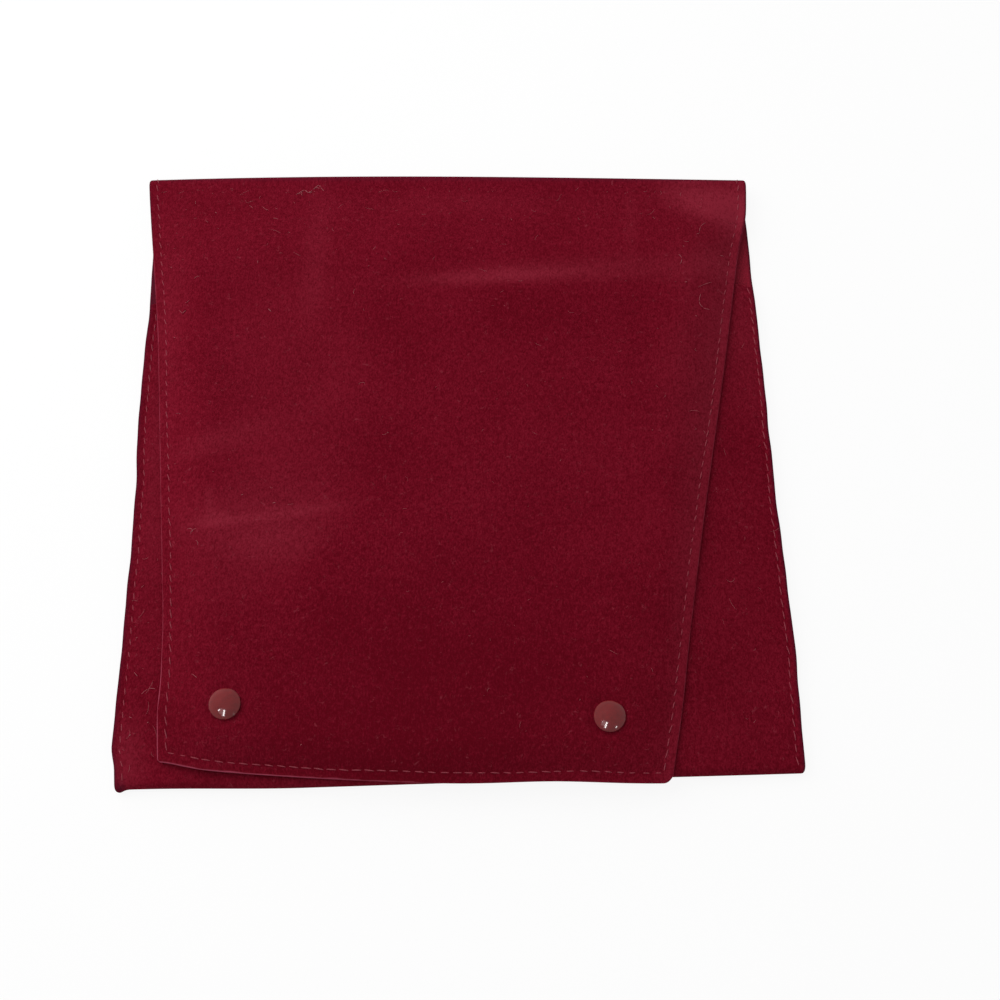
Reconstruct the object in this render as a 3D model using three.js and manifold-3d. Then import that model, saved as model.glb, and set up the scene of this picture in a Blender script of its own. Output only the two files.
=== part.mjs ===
// Envelope pouch: a lined velvet strip folded up into a pocket and over into a tapered flap that closes with
// two press studs. Millimetres. X runs along the top fold, Y points towards it and Z is up. The pouch lies on
// its back panel at z = 0, with the middle of that panel at the origin. The flap is folded slightly out of
// square, so the body leans one way from the fold and the flap leans the other way by the same angle.

import * as THREE from 'three';
import Module from 'manifold-3d';
import { mergeVertices } from 'three/addons/utils/BufferGeometryUtils.js';

const wasm = await Module();
wasm.setup();
const { clamp, degToRad, lerp, smoothstep } = THREE.MathUtils;

// Cloth strip
const stripWidth = 220;
const bodyLength = 220;
const mouthDrop = 45;
const foldSkew = degToRad(1.85);
const velvetThickness = 1;
const liningThickness = 0.6;
const layerGap = 0.15;
const topFoldInnerRadius = 1.5;
const foldJointGap = 0.2;

// Pocket between the front and back panels
const pocketGap = 5;
const bottomGap = 2.3;
const seamGap = 0.3;
const pocketSideTaper = 46;
const pocketBottomTaper = 70;

// Flap
const flapLength = 219.5;
const flapTipWidth = 162;
const flapTipBow = 2.5;
const flapRiseMargin = 6;
const flapEdgeDroopWidth = 12;
const flapEdgeLift = 1.3;
const flapTipDroop = 1.5;
const flapTipDroopLength = 10;
const runningGap = 0.3;

// Thread
const threadDiameter = 0.5;
const threadSeat = 0.1;
const flapStitchInset = 3.1;
const seamInset = 2.6;
const hemInset = 3;

// Press studs
const snapSpacing = 122;
const snapFromTip = 19.7;
const metalSeat = 0.1;
const capRadius = 5;
const capHeight = 2.4;
const capRimHeight = 0.9;
const capRimRounding = 0.4;
const capPostRadius = 1.5;
const capPostGrip = 0.6;
const socketRadius = 4.6;
const socketHeight = 2.2;
const socketPlate = 0.7;
const socketLip = 0.4;
const springWireDiameter = 0.6;
const springSlot = 0.1;
const springSplit = degToRad(50);
const studRadius = 4.4;
const studFlange = 0.7;
const studNeckRadius = 1.55;
const studHeadRadius = 1.95;
const studHeadClearance = 0.15;
const studMating = 0.15;
const postRadius = 1;
const postFlangeRadius = 4.6;
const postFlange = 0.6;
const metalFit = 0.15;
const clothHoleClearance = 0.3;

// Fineness of the faceting
const clothStep = 24;
const bendSteps = 6;
const turnedSegments = 16;
const domeSteps = 5;
const backSteps = 2;
const threadSides = 6;
const springSteps = 16;

// Sizes that follow from those above
const clothStack = velvetThickness + layerGap + liningThickness;
const topFoldOuterRadius = topFoldInnerRadius + clothStack;
const halfWidth = stripWidth / 2;
const crest = new THREE.Vector2(-Math.sin(foldSkew), Math.cos(foldSkew)).multiplyScalar(bodyLength / 2);
const panelEnd = crest.y - topFoldOuterRadius - foldJointGap;
const threadHeight = threadSeat + threadDiameter;
const snapStack = 2 * metalSeat + studFlange + studMating + socketHeight;
const postRoom = metalSeat + postFlange + runningGap;
const flapGap = Math.max(pocketGap + threadHeight + runningGap, postRoom + snapStack);
const flapHeight = 2 * clothStack + flapGap;
const flapRootHeight = topFoldOuterRadius + topFoldInnerRadius;
const snapPocketGap = flapGap - snapStack;
const snapPadHalf = Math.max(studRadius, postFlangeRadius) + 2 * clothHoleClearance;
const snapPadBlend = 2 * snapPadHalf;

// Layers as spans of distance from the inner face of the lining
const liningSpan = [0, liningThickness];
const velvetSpan = [liningThickness + layerGap, clothStack];

// Finishes
const velvet = new THREE.MeshStandardMaterial({ color: 0x650e1d, roughness: 0.95, metalness: 0 });
const lining = new THREE.MeshStandardMaterial({ color: 0x4a0d18, roughness: 0.7, metalness: 0 });
const thread = new THREE.MeshStandardMaterial({ color: 0x9c4a55, roughness: 0.6, metalness: 0 });
const enamel = new THREE.MeshStandardMaterial({ color: 0x743234, roughness: 0.2, metalness: 0.2 });
const brass = new THREE.MeshStandardMaterial({ color: 0xb08d4a, roughness: 0.35, metalness: 1 });

const pouch = new THREE.Group();

function addPiece(name, geometry, material, x = 0, y = 0) {
  const mesh = new THREE.Mesh(geometry, material);
  mesh.name = name;
  mesh.position.set(x, y, 0);
  pouch.add(mesh);
}

// Plans of the two leaning panels: distance across the strip and distance down it from the fold's crest

function onBody(across, down) {
  const x = crest.x + across * Math.cos(foldSkew) + down * Math.sin(foldSkew);
  const y = crest.y + across * Math.sin(foldSkew) - down * Math.cos(foldSkew);
  return [x, y];
}

function onFlap(across, down) {
  const x = crest.x + across * Math.cos(foldSkew) - down * Math.sin(foldSkew);
  const y = crest.y - across * Math.sin(foldSkew) - down * Math.cos(foldSkew);
  return [x, y];
}

function bodyPlace(x, y) {
  const fromCrest = [x - crest.x, y - crest.y];
  const across = fromCrest[0] * Math.cos(foldSkew) + fromCrest[1] * Math.sin(foldSkew);
  const down = fromCrest[0] * Math.sin(foldSkew) - fromCrest[1] * Math.cos(foldSkew);
  return [across, down];
}

// The press studs go through the flap and the front panel, so they keep their distance from whichever
// of the flap's tip and the bottom fold comes first

const snapDown = Math.min(flapLength, bodyLength) - snapFromTip;
const snaps = ['left', 'right'].map((side, i) => {
  const [x, y] = onFlap((i - 0.5) * snapSpacing, snapDown);
  const [across, down] = bodyPlace(x, y);
  return { side, x, y, across, down };
});

// Height of the gap inside the pocket: full in the middle, drawn in at the seams and the bottom fold,
// and level where a press stud grips the front panel

function sideShare(across) {
  const seamLine = halfWidth - seamInset;
  return 1 - smoothstep(Math.abs(across), seamLine - pocketSideTaper, seamLine);
}

function foldGap(across) {
  return seamGap + sideShare(across) * (bottomGap - seamGap);
}

function bottomBendStart(across) {
  return bodyLength - clothStack - foldGap(across) / 2;
}

function snapPadShare(across, down, snap) {
  const away = Math.max(Math.abs(across - snap.across), Math.abs(down - snap.down));
  return 1 - smoothstep(away, snapPadHalf, snapPadHalf + snapPadBlend);
}

function gapInPocket(across, down) {
  const rise = smoothstep(bottomBendStart(across) - down, 0, pocketBottomTaper);
  const open = lerp(bottomGap, pocketGap, rise) - seamGap;
  const plain = seamGap + sideShare(across) * open;
  const nearBottom = smoothstep(bottomBendStart(across) - down, 0, clothStack);
  const pads = snaps.map((snap) => snapPadShare(across, down, snap) * nearBottom);
  return pads.reduce((gap, share) => lerp(gap, snapPocketGap, share), plain);
}

function frontHeight(x, y) {
  const [across, down] = bodyPlace(x, y);
  const inside = clamp(down, mouthDrop, bottomBendStart(across));
  const front = 2 * clothStack + gapInPocket(across, inside);
  return lerp(flapRootHeight - flapEdgeLift, front, smoothstep(down, 0, mouthDrop));
}

// Height of the flap's lining above the table

function flapHalfWidth(down) {
  return lerp(halfWidth, flapTipWidth / 2, down / flapLength);
}

function flapUnderside(across, down, x, y) {
  const rise = smoothstep(down, topFoldOuterRadius, mouthDrop - flapRiseMargin);
  const fromTip = flapLength - down;
  const droop = flapTipDroop * (1 - smoothstep(fromTip, 0, flapTipDroopLength));
  const middle = lerp(flapRootHeight, flapHeight, rise) - droop;
  const edge = Math.min(middle, frontHeight(x, y) + flapEdgeLift);
  const fromEdge = flapHalfWidth(down) - Math.abs(across);
  return lerp(edge, middle, smoothstep(fromEdge, 0, flapEdgeDroopWidth));
}

// Lines of a grid from start to end, through the required ones, with no gap wider than step

function gridLines(start, end, step, required = []) {
  const within = required.filter((line) => line > start && line < end);
  const fixed = [...new Set([start, ...within, end])].sort((a, b) => a - b);
  return fixed.flatMap((line, i) => {
    const gap = i + 1 < fixed.length ? fixed[i + 1] - line : 0;
    const count = Math.max(1, Math.ceil(gap / step));
    return Array.from({ length: count }, (_, k) => line + (gap * k) / count);
  });
}

// A closed sheet from rows of [face point, back point] pairs, walled round its four edges

function sheetGeometry(rows) {
  const across = rows.length;
  const along = rows[0].length;
  const sides = [0, 1].map((side) => rows.flat().flatMap((pair) => pair[side]));
  const at = (i, j, side) => (side * across + i) * along + j;
  const index = [];
  const quad = (a, b, c, d) => index.push(a, b, c, a, c, d);
  for (let i = 0; i + 1 < across; i += 1) {
    for (let j = 0; j + 1 < along; j += 1) {
      const [a, b, c, d] = [at(i, j, 0), at(i, j + 1, 0), at(i + 1, j + 1, 0), at(i + 1, j, 0)];
      const under = across * along;
      quad(a, b, c, d);
      index.push(a + under, d + under, c + under, a + under, c + under, b + under);
    }
    quad(at(i, 0, 0), at(i + 1, 0, 0), at(i + 1, 0, 1), at(i, 0, 1));
    quad(at(i + 1, along - 1, 0), at(i, along - 1, 0), at(i, along - 1, 1), at(i + 1, along - 1, 1));
  }
  for (let j = 0; j + 1 < along; j += 1) {
    quad(at(0, j + 1, 0), at(0, j, 0), at(0, j, 1), at(0, j + 1, 1));
    quad(at(across - 1, j, 0), at(across - 1, j + 1, 0), at(across - 1, j + 1, 1), at(across - 1, j, 1));
  }
  const geometry = new THREE.BufferGeometry();
  geometry.setAttribute('position', new THREE.Float32BufferAttribute(sides.flat(), 3));
  geometry.setIndex(index);
  return geometry;
}

// A round thread or wire along points, mitred at its corners and closed at both ends

function threadGeometry(points, diameter) {
  const path = points.map((point) => new THREE.Vector3(...point));
  const up = new THREE.Vector3(0, 0, 1);
  const sideOf = (a, b) => new THREE.Vector3().subVectors(b, a).cross(up).normalize();
  const positions = path.flatMap((point, i) => {
    const before = sideOf(path[Math.max(i - 1, 0)], path[Math.max(i, 1)]);
    const after = sideOf(path[Math.min(i, path.length - 2)], path[Math.min(i + 1, path.length - 1)]);
    const mitre = new THREE.Vector3().addVectors(before, after).divideScalar(1 + before.dot(after));
    return Array.from({ length: threadSides }, (_, k) => {
      const turn = ((k + 0.5) / threadSides) * 2 * Math.PI;
      const ring = point.clone().addScaledVector(mitre, (Math.cos(turn) * diameter) / 2);
      return ring.addScaledVector(up, (Math.sin(turn) * diameter) / 2).toArray();
    }).flat();
  });
  const index = [];
  const at = (i, k) => i * threadSides + (k % threadSides);
  for (let i = 0; i + 1 < path.length; i += 1) {
    for (let k = 0; k < threadSides; k += 1) {
      index.push(at(i, k), at(i + 1, k + 1), at(i, k + 1), at(i, k), at(i + 1, k), at(i + 1, k + 1));
    }
  }
  const last = path.length - 1;
  for (let k = 1; k + 1 < threadSides; k += 1) {
    index.push(at(0, 0), at(0, k), at(0, k + 1));
    index.push(at(last, 0), at(last, k + 1), at(last, k));
  }
  const geometry = new THREE.BufferGeometry();
  geometry.setAttribute('position', new THREE.Float32BufferAttribute(positions, 3));
  geometry.setIndex(index);
  return geometry;
}

// A turned piece about the upright axis from a profile of [radius, height] points

function turnedGeometry(profile) {
  const points = profile.map(([radius, height]) => new THREE.Vector2(radius, height));
  return new THREE.LatheGeometry(points, turnedSegments).rotateX(Math.PI / 2);
}

function solidOf(geometry) {
  const bare = geometry.clone();
  bare.deleteAttribute('normal');
  bare.deleteAttribute('uv');
  const merged = mergeVertices(bare);
  const vertProperties = new Float32Array(merged.attributes.position.array);
  const triVerts = new Uint32Array(merged.index.array);
  return new wasm.Manifold(new wasm.Mesh({ numProp: 3, vertProperties, triVerts }));
}

function withSnapHoles(geometry, radius, low, high) {
  const cut = snaps.reduce((solid, snap) => {
    const punch = new THREE.CylinderGeometry(radius, radius, high - low, turnedSegments).rotateX(Math.PI / 2);
    punch.translate(snap.x, snap.y, (low + high) / 2);
    return solid.subtract(solidOf(punch));
  }, solidOf(geometry));
  const mesh = cut.getMesh();
  const holed = new THREE.BufferGeometry();
  holed.setAttribute('position', new THREE.BufferAttribute(mesh.vertProperties, 3));
  holed.setIndex(new THREE.BufferAttribute(mesh.triVerts, 1));
  return holed;
}

// Body: one strip from the mouth down the front, round the bottom fold and up the back to the top fold

const snapLines = (key) => snaps.flatMap((snap) => {
  const reach = [snapPadHalf, snapPadHalf + snapPadBlend];
  return reach.flatMap((half) => [snap[key] - half, snap[key] + half]);
});
const taperLines = [halfWidth - seamInset, halfWidth - seamInset - pocketSideTaper];
const seamLines = taperLines.flatMap((line) => [-line, line]);
const bodyAcross = gridLines(-halfWidth, halfWidth, clothStep, [...seamLines, ...snapLines('across')]);
const bendStartLeast = Math.min(...bodyAcross.map(bottomBendStart));
const frontEnd = bendStartLeast - clothStack;
const frontDown = gridLines(mouthDrop, frontEnd, clothStep, [
  mouthDrop + hemInset,
  bendStartLeast - pocketBottomTaper,
  ...snapLines('down'),
]);

function frontPoint(across, down, offset) {
  return [...onBody(across, down), clothStack + gapInPocket(across, down) + offset];
}

function bendPoint(across, turn, offset) {
  const radius = foldGap(across) / 2 + offset;
  const down = bottomBendStart(across) + radius * Math.cos(turn);
  return [...onBody(across, down), clothStack + foldGap(across) / 2 + radius * Math.sin(turn)];
}

function backPoint(across, share, offset) {
  const topEnd = (crest.y + across * Math.sin(foldSkew) - panelEnd) / Math.cos(foldSkew);
  return [...onBody(across, lerp(bottomBendStart(across), topEnd, share)), clothStack - offset];
}

function bodyRows([inner, outer]) {
  const turns = Array.from({ length: bendSteps + 1 }, (_, k) => Math.PI * (0.5 - k / bendSteps));
  const backShares = Array.from({ length: backSteps }, (_, k) => (k + 1) / backSteps);
  return bodyAcross.map((across) => [
    ...frontDown.map((down) => [outer, inner].map((offset) => frontPoint(across, down, offset))),
    ...turns.map((turn) => [outer, inner].map((offset) => bendPoint(across, turn, offset))),
    ...backShares.map((share) => [outer, inner].map((offset) => backPoint(across, share, offset))),
  ]);
}

const frontAtSnap = clothStack + snapPocketGap;
const postHole = postRadius + clothHoleClearance;
const frontHole = [postHole, frontAtSnap - runningGap, frontAtSnap + clothStack + runningGap];
addPiece('body_velvet', withSnapHoles(sheetGeometry(bodyRows(velvetSpan)), ...frontHole), velvet);
addPiece('body_lining', withSnapHoles(sheetGeometry(bodyRows(liningSpan)), ...frontHole), lining);

// Top fold: half a turn of each layer between the back panel and the flap

function topFoldGeometry([inner, outer]) {
  const bend = new THREE.Shape();
  const [small, large] = [topFoldInnerRadius + inner, topFoldInnerRadius + outer];
  bend.absarc(0, 0, large, -Math.PI / 2, Math.PI / 2, false);
  bend.absarc(0, 0, small, Math.PI / 2, -Math.PI / 2, true);
  const [left, right] = [-halfWidth, halfWidth].map((across) => onBody(across, topFoldOuterRadius)[0]);
  const geometry = new THREE.ExtrudeGeometry(bend, {
    depth: right - left,
    bevelEnabled: false,
    curveSegments: bendSteps,
  });
  const frame = new THREE.Matrix4().makeBasis(
    new THREE.Vector3(0, 1, 0),
    new THREE.Vector3(0, 0, 1),
    new THREE.Vector3(1, 0, 0),
  );
  return geometry.applyMatrix4(frame).translate(left, crest.y - topFoldOuterRadius, topFoldOuterRadius);
}

addPiece('top_fold_velvet', topFoldGeometry(velvetSpan), velvet);
addPiece('top_fold_lining', topFoldGeometry(liningSpan), lining);

// Flap: narrows to a slightly bowed tip, and droops at its cut edges

const flapInsets = [0, flapStitchInset];
const flapShares = gridLines(-1, 1, clothStep / (flapTipWidth / 2));
const flapDown = gridLines(topFoldOuterRadius, flapLength, clothStep, [
  mouthDrop - flapRiseMargin,
  (topFoldOuterRadius + mouthDrop - flapRiseMargin) / 2,
  flapLength - flapTipDroopLength,
  flapLength - flapStitchInset,
]);

function flapAcross(down) {
  const half = flapHalfWidth(down);
  const sides = flapInsets.map((inset) => half - inset);
  const middle = flapShares.map((share) => share * (half - flapEdgeDroopWidth));
  return [...sides.map((place) => -place), ...middle, ...sides.reverse()];
}

function flapPoint(across, down, offset) {
  const share = (down - topFoldOuterRadius) / (flapLength - topFoldOuterRadius);
  const squaring = (foldJointGap - across * Math.sin(foldSkew)) * (1 - share);
  const bow = flapTipBow * (1 - (across / flapHalfWidth(down)) ** 2) * share ** 2;
  const [x, y] = onFlap(across, down + squaring + bow);
  return [x, y, flapUnderside(across, down, x, y) + offset];
}

function flapRows([inner, outer]) {
  const columns = flapDown.map((down) => flapAcross(down).map((across) => [across, down]));
  return columns[0].map((_, i) => columns.map((column) => (
    [outer, inner].map((offset) => flapPoint(...column[i], offset))
  )));
}

const capPostHole = capPostRadius + clothHoleClearance;
const flapHole = [capPostHole, flapHeight - runningGap, flapHeight + clothStack + runningGap];
addPiece('flap_velvet', withSnapHoles(sheetGeometry(flapRows(velvetSpan)), ...flapHole), velvet);
addPiece('flap_lining', withSnapHoles(sheetGeometry(flapRows(liningSpan)), ...flapHole), lining);

// Stitching: threads that lie along the lines of the cloth's grid

const threadLift = threadSeat + threadDiameter / 2;
const flapStitchEnd = flapDown.indexOf(flapDown.find((down) => down >= flapLength - flapStitchInset));
const onFlapFace = (column, down) => flapPoint(flapAcross(down)[column], down, clothStack + threadLift);
const lastColumn = flapAcross(flapLength).length - 1;
const flapSide = (column) => flapDown.slice(0, flapStitchEnd).map((down) => onFlapFace(column, down));
const flapTip = Array.from({ length: lastColumn - 1 }, (_, i) => onFlapFace(i + 1, flapDown[flapStitchEnd]));
const flapStitch = [...flapSide(1), ...flapTip, ...flapSide(lastColumn - 1).reverse()];
addPiece('flap_topstitch', threadGeometry(flapStitch, threadDiameter), thread);

[-1, 1].forEach((side, i) => {
  const across = side * (halfWidth - seamInset);
  const seam = frontDown.map((down) => frontPoint(across, down, clothStack + threadLift));
  addPiece(`${snaps[i].side}_seam_thread`, threadGeometry(seam, threadDiameter), thread);
});

const hemAcross = bodyAcross.filter((across) => Math.abs(across) < halfWidth - seamInset - threadHeight);
const hem = hemAcross.map((across) => frontPoint(across, mouthDrop + hemInset, clothStack + threadLift));
addPiece('mouth_hem_thread', threadGeometry(hem, threadDiameter), thread);

// Press studs, each at rest with its stud pressed home in its socket

const studBottom = frontAtSnap + clothStack + metalSeat;
const studTop = studBottom + studFlange;
const socketBottom = studTop + studMating;
const socketTop = socketBottom + socketHeight;
const capBottom = flapHeight + clothStack + metalSeat;
const springInner = (studNeckRadius + studHeadRadius) / 2;
const springMiddle = springInner + springWireDiameter / 2;
const socketMouth = studHeadRadius + studHeadClearance;
const springFloor = socketBottom + socketLip;
const springRoof = springFloor + springWireDiameter + 2 * springSlot;
const springPocket = springInner + springWireDiameter + studHeadRadius - studNeckRadius + springSlot;
const socketRoof = socketTop - socketPlate;
const headMiddle = springRoof;
const headTop = socketRoof - springSlot;
const eyeRadius = capPostRadius + metalFit;
const studBore = postRadius + metalFit;
const postTop = frontAtSnap - metalSeat;
const postBottom = postTop - postFlange;

const capProfile = [
  [0, socketTop - capPostGrip],
  [capPostRadius, socketTop - capPostGrip],
  [capPostRadius, capBottom],
  [capRadius - capRimRounding, capBottom],
  [capRadius, capBottom + capRimRounding],
  ...Array.from({ length: domeSteps }, (_, k) => {
    const turn = (k / domeSteps) * (Math.PI / 2);
    const rise = capRimHeight + (capHeight - capRimHeight) * Math.sin(turn);
    return [capRadius * Math.cos(turn), capBottom + rise];
  }),
  [0, capBottom + capHeight],
];
const socketProfile = [
  [socketMouth, socketBottom],
  [socketRadius - socketLip, socketBottom],
  [socketRadius, socketBottom + socketLip],
  [socketRadius, socketTop],
  [eyeRadius, socketTop],
  [eyeRadius, socketRoof],
  [socketMouth, socketRoof],
  [socketMouth, springRoof],
  [springPocket, springRoof],
  [springPocket, springFloor],
  [socketMouth, springFloor],
  [socketMouth, socketBottom],
];
const studProfile = [
  [studBore, studBottom],
  [studRadius, studBottom],
  [studRadius, studBottom + studFlange / 2],
  [studRadius - studFlange / 2, studTop],
  [studNeckRadius, studTop],
  [studNeckRadius, (springFloor + springRoof) / 2],
  [studHeadRadius, headMiddle],
  [(studBore + studHeadRadius) / 2, headTop],
  [studBore, headTop],
  [studBore, studBottom],
];
const postProfile = [
  [0, postBottom],
  [postFlangeRadius - postFlange, postBottom],
  [postFlangeRadius, postTop - postFlange / 2],
  [postFlangeRadius, postTop],
  [postRadius, postTop],
  [postRadius, studTop],
  [0, studTop],
];
const springPath = Array.from({ length: springSteps + 1 }, (_, k) => {
  const turn = springSplit / 2 + (k / springSteps) * (2 * Math.PI - springSplit);
  const height = (springFloor + springRoof) / 2;
  return [springMiddle * Math.cos(turn), springMiddle * Math.sin(turn), height];
});

snaps.forEach(({ side, x, y }) => {
  addPiece(`${side}_cap`, turnedGeometry(capProfile), enamel, x, y);
  addPiece(`${side}_socket`, turnedGeometry(socketProfile), brass, x, y);
  addPiece(`${side}_socket_spring`, threadGeometry(springPath, springWireDiameter), brass, x, y);
  addPiece(`${side}_stud`, turnedGeometry(studProfile), brass, x, y);
  addPiece(`${side}_stud_post`, turnedGeometry(postProfile), brass, x, y);
});

export default pouch;
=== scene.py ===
"""Envelope pouch of dark red velvet: the looks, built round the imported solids.

The pouch is one lined strip, folded up at the bottom into a pocket and over at the top into a tapered flap
that closes with two press studs. Lengths are metres. X runs along the top fold, Y points towards it and Z is
up. A place on the cloth is the distance across the strip from its middle and the distance down from the
crest of the top fold. The flap is folded slightly out of square, so body and flap lean opposite ways.
"""

from math import cos, radians, sin, tan

import bpy
import numpy as np
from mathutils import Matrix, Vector


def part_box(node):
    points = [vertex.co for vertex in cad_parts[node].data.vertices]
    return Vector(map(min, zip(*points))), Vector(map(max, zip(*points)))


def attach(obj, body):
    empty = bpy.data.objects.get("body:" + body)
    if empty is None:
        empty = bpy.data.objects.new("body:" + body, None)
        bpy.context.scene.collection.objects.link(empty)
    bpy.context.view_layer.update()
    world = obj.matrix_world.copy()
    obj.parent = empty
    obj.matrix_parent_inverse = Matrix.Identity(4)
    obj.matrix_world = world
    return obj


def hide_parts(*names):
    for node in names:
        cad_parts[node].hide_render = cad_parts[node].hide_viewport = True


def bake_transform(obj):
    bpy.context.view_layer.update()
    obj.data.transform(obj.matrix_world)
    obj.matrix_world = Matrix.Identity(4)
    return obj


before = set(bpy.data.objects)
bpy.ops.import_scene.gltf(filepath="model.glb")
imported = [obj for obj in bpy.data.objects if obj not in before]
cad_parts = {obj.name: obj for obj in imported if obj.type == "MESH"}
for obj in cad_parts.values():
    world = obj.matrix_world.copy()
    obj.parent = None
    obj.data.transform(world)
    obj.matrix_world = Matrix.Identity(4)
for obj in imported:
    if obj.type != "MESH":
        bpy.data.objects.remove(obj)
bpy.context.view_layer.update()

bl_info = {
    "name": "Envelope pouch",
    "version": (1, 0, 0),
    "blender": (4, 5, 0),
    "location": "3D View > Sidebar > Pouch",
    "description": "Makes a velvet envelope pouch with a press-studded flap",
    "category": "Add Mesh",
}

MM = 0.001
SIDES = ("left", "right")
CLOTH_MAP = "cloth"

# Fineness of the grids
FLAP_STEP = 1.3 * MM
BODY_STEP = 1.45 * MM
LINING_STEP = 2.2 * MM
EDGE_STEP = 0.06 * MM
END_STEP = 0.03 * MM
EDGE_GROWTH = 1.3
EDGE_MARGIN = 12 * MM
BEND_STEPS = 15
TURNED_SIDES = 72
DOME_STEPS = 20
SPRING_STEPS = 48
SPRING_SIDES = 12
STITCH_STEPS = 9
STITCH_SIDES = 6
STITCH_LINE_POINTS = 500
LINT_STEPS = 8
LINT_SIDES = 5

# Unevenness of the cloth's outline: bumps have a height, a place and a half width, and slopes a height,
# a start and an end. Places are in millimetres, and so are heights that no size multiplies.
LEFT_SIDE_BUMPS = ((1.2, 204, 16), (-0.4, 197, 6), (-2.1, 38, 40), (-1.0, 125, 28))
LEFT_SIDE_SLOPES = ((-1.2, 206, 214), (-0.4, 50, 65), (0.4, 165, 180))
RIGHT_SIDE_BUMPS = ((0.5, 168, 30), (0.5, 188, 14), (-0.25, 122, 28))
BOTTOM_FOLD_SLOPES = ((1.35, -105, -50), (0.45, -20, 80))
FLAP_LEFT_SLOPES = ((-1.0, 0, 75), (1.0, 165, 214), (0.35, 190, 205))
FLAP_RIGHT_SLOPES = ((1.0, -10, 8), (-1.0, 60, 150))
FLAP_RIGHT_BUMPS = ((1.0, 17, 10), (0.4, 197, 16))
FLAP_TIP_BUMPS = ((-1.6, -81, 10), (-1.1, 44, 21))
MOUTH_TUCK = 0.5 * MM
MOUTH_TUCK_LENGTH = 14 * MM
MOUTH_CORNER = 7 * MM
RIGHT_SEAM_DRIFT = 0.75 * MM

# The nub at the bottom left corner: how far it stands out, its distance from the edge and its half width
CORNER_NUB = (0.9 * MM, 1.4 * MM, 1.5 * MM)

# Grooves in the cloth: depth and half width
SEAM_GROOVE = (0.42 * MM, 0.8 * MM)
HEM_GROOVE = (0.35 * MM, 0.8 * MM)
TOPSTITCH_GROOVE = (0.40 * MM, 0.85 * MM)
CAP_GROOVE = (0.45 * MM, 1.3 * MM)
CAP_SEAT_RISE = 0.12 * MM

# Lean of the stitches from their rows; the flap's rows are its left side, its tip and its right side
FLAP_STITCH_SLANTS = (-0.2, 0.06, 0.12)
SEAM_STITCH_SLANT = -0.15
HEM_STITCH_SLANT = 0.06

# Where the topstitching starts, as a share of the way round the top fold, how far its rows wander, and how
# deep the side seams sink into the back
TOPSTITCH_START = 0.62
TIP_ROW_WANDER = 0.35 * MM
SIDE_ROW_WANDER = 0.22 * MM
BACK_SEAM_SINK = 0.35 * MM

# Shape and unevenness of a stitch, in shares of its pitch, of its length or of the thread's diameter
STITCH_PLACE_SPREAD = 0.03
STITCH_LEAN_SPREAD = 0.06
STITCH_SHORTEST = 0.82
STITCH_SUNK_MOST = 0.25
STITCH_RISE = 0.28
STITCH_DIP = 1.1
STITCH_END_THINNING = 0.5
PLY_DEPTH = 0.16
PLY_TWIST = 2.6

# Loose fibres: how many lie on the flap and on the front's left and right strips, and what they measure
FLAP_LINT_COUNT = 210
FRONT_LINT_COUNTS = (110, 25)
LINT_LENGTH_MEAN = 1.3 * MM
LINT_LENGTHS = (0.4 * MM, 5 * MM)
LINT_THICKNESSES = (0.05 * MM, 0.09 * MM)
LINT_BEND_SPREAD = 1.2
LINT_FROM_EDGE = 1.5 * MM
LINT_FROM_CAP = 8 * MM
LINT_CROWDING = 2.4

# The photograph's view: metres, degrees above the table, and millimetres for the lens and the sensor
CAMERA_TARGET = Vector((16.3, -14.9, 0.0)) * MM
CAMERA_DISTANCE = 0.467
CAMERA_ELEVATION = 70
CAMERA_LENS = 49.0
CAMERA_SENSOR = 36.0

# Brushed places of the pile, and patches of painted light and painted shade: across, down, half length and
# half width in millimetres, turn in degrees and strength, which is below 0 where the pile is darker
FLAP_NAP_AND_PAINTED_LIGHT = (
    (97, 11, 17, 8, 20, 1.3),
    (104, 16, 7, 12, 0, 0.3),
    (52, 41.7, 56, 5.5, -3.6, 0.42),
    (23, 43.5, 30, 2.6, -3.6, 0.65),
    (40, 57, 44, 10, -3, -0.35),
    (68, 22, 2.5, 18, 0, 0.2),
    (-45, 36, 5, 28, 0, 0.26),
    (97, 35, 6, 6, 0, 0.35),
    # Painted light on the right margin, which droops away from the key light
    (92, 70, 14, 50, 4, 0.3),
    (-52, 134.5, 25, 2.0, -10, 0.5),
    (-56, 136, 26, 12, -8, 0.3),
    (-54, 172, 26, 46, 0, 0.34),
    (-78, 206, 10, 11, 0, -0.7),
    (-70, 137, 6, 3, -10, 0.45),
    (-73, 131, 1.5, 5, -10, 0.4),
    (-47, 145, 16, 7, -5, 0.3),
    (-72, 108, 18, 5, -22, 0.35),
    (-97, 60, 8, 46, 0, 0.22),
    (20, 12, 60, 5, 0, 0.12),
    # Painted shade towards the tip, where the light falls off
    (0, 195, 66, 45, 0, -1.1),
    (-50, 85, 26, 55, 0, 0.14),
)
FRONT_NAP_AND_PAINTED_LIGHT = (
    (-106, 209, 5, 12, 0, 0.5),
    (-101, 105, 6, 50, 0, 0.4),
    # Painted light on the front's right strip, in the flap's shadow
    (104, 64, 8, 30, 0, 0.35),
)

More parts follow.
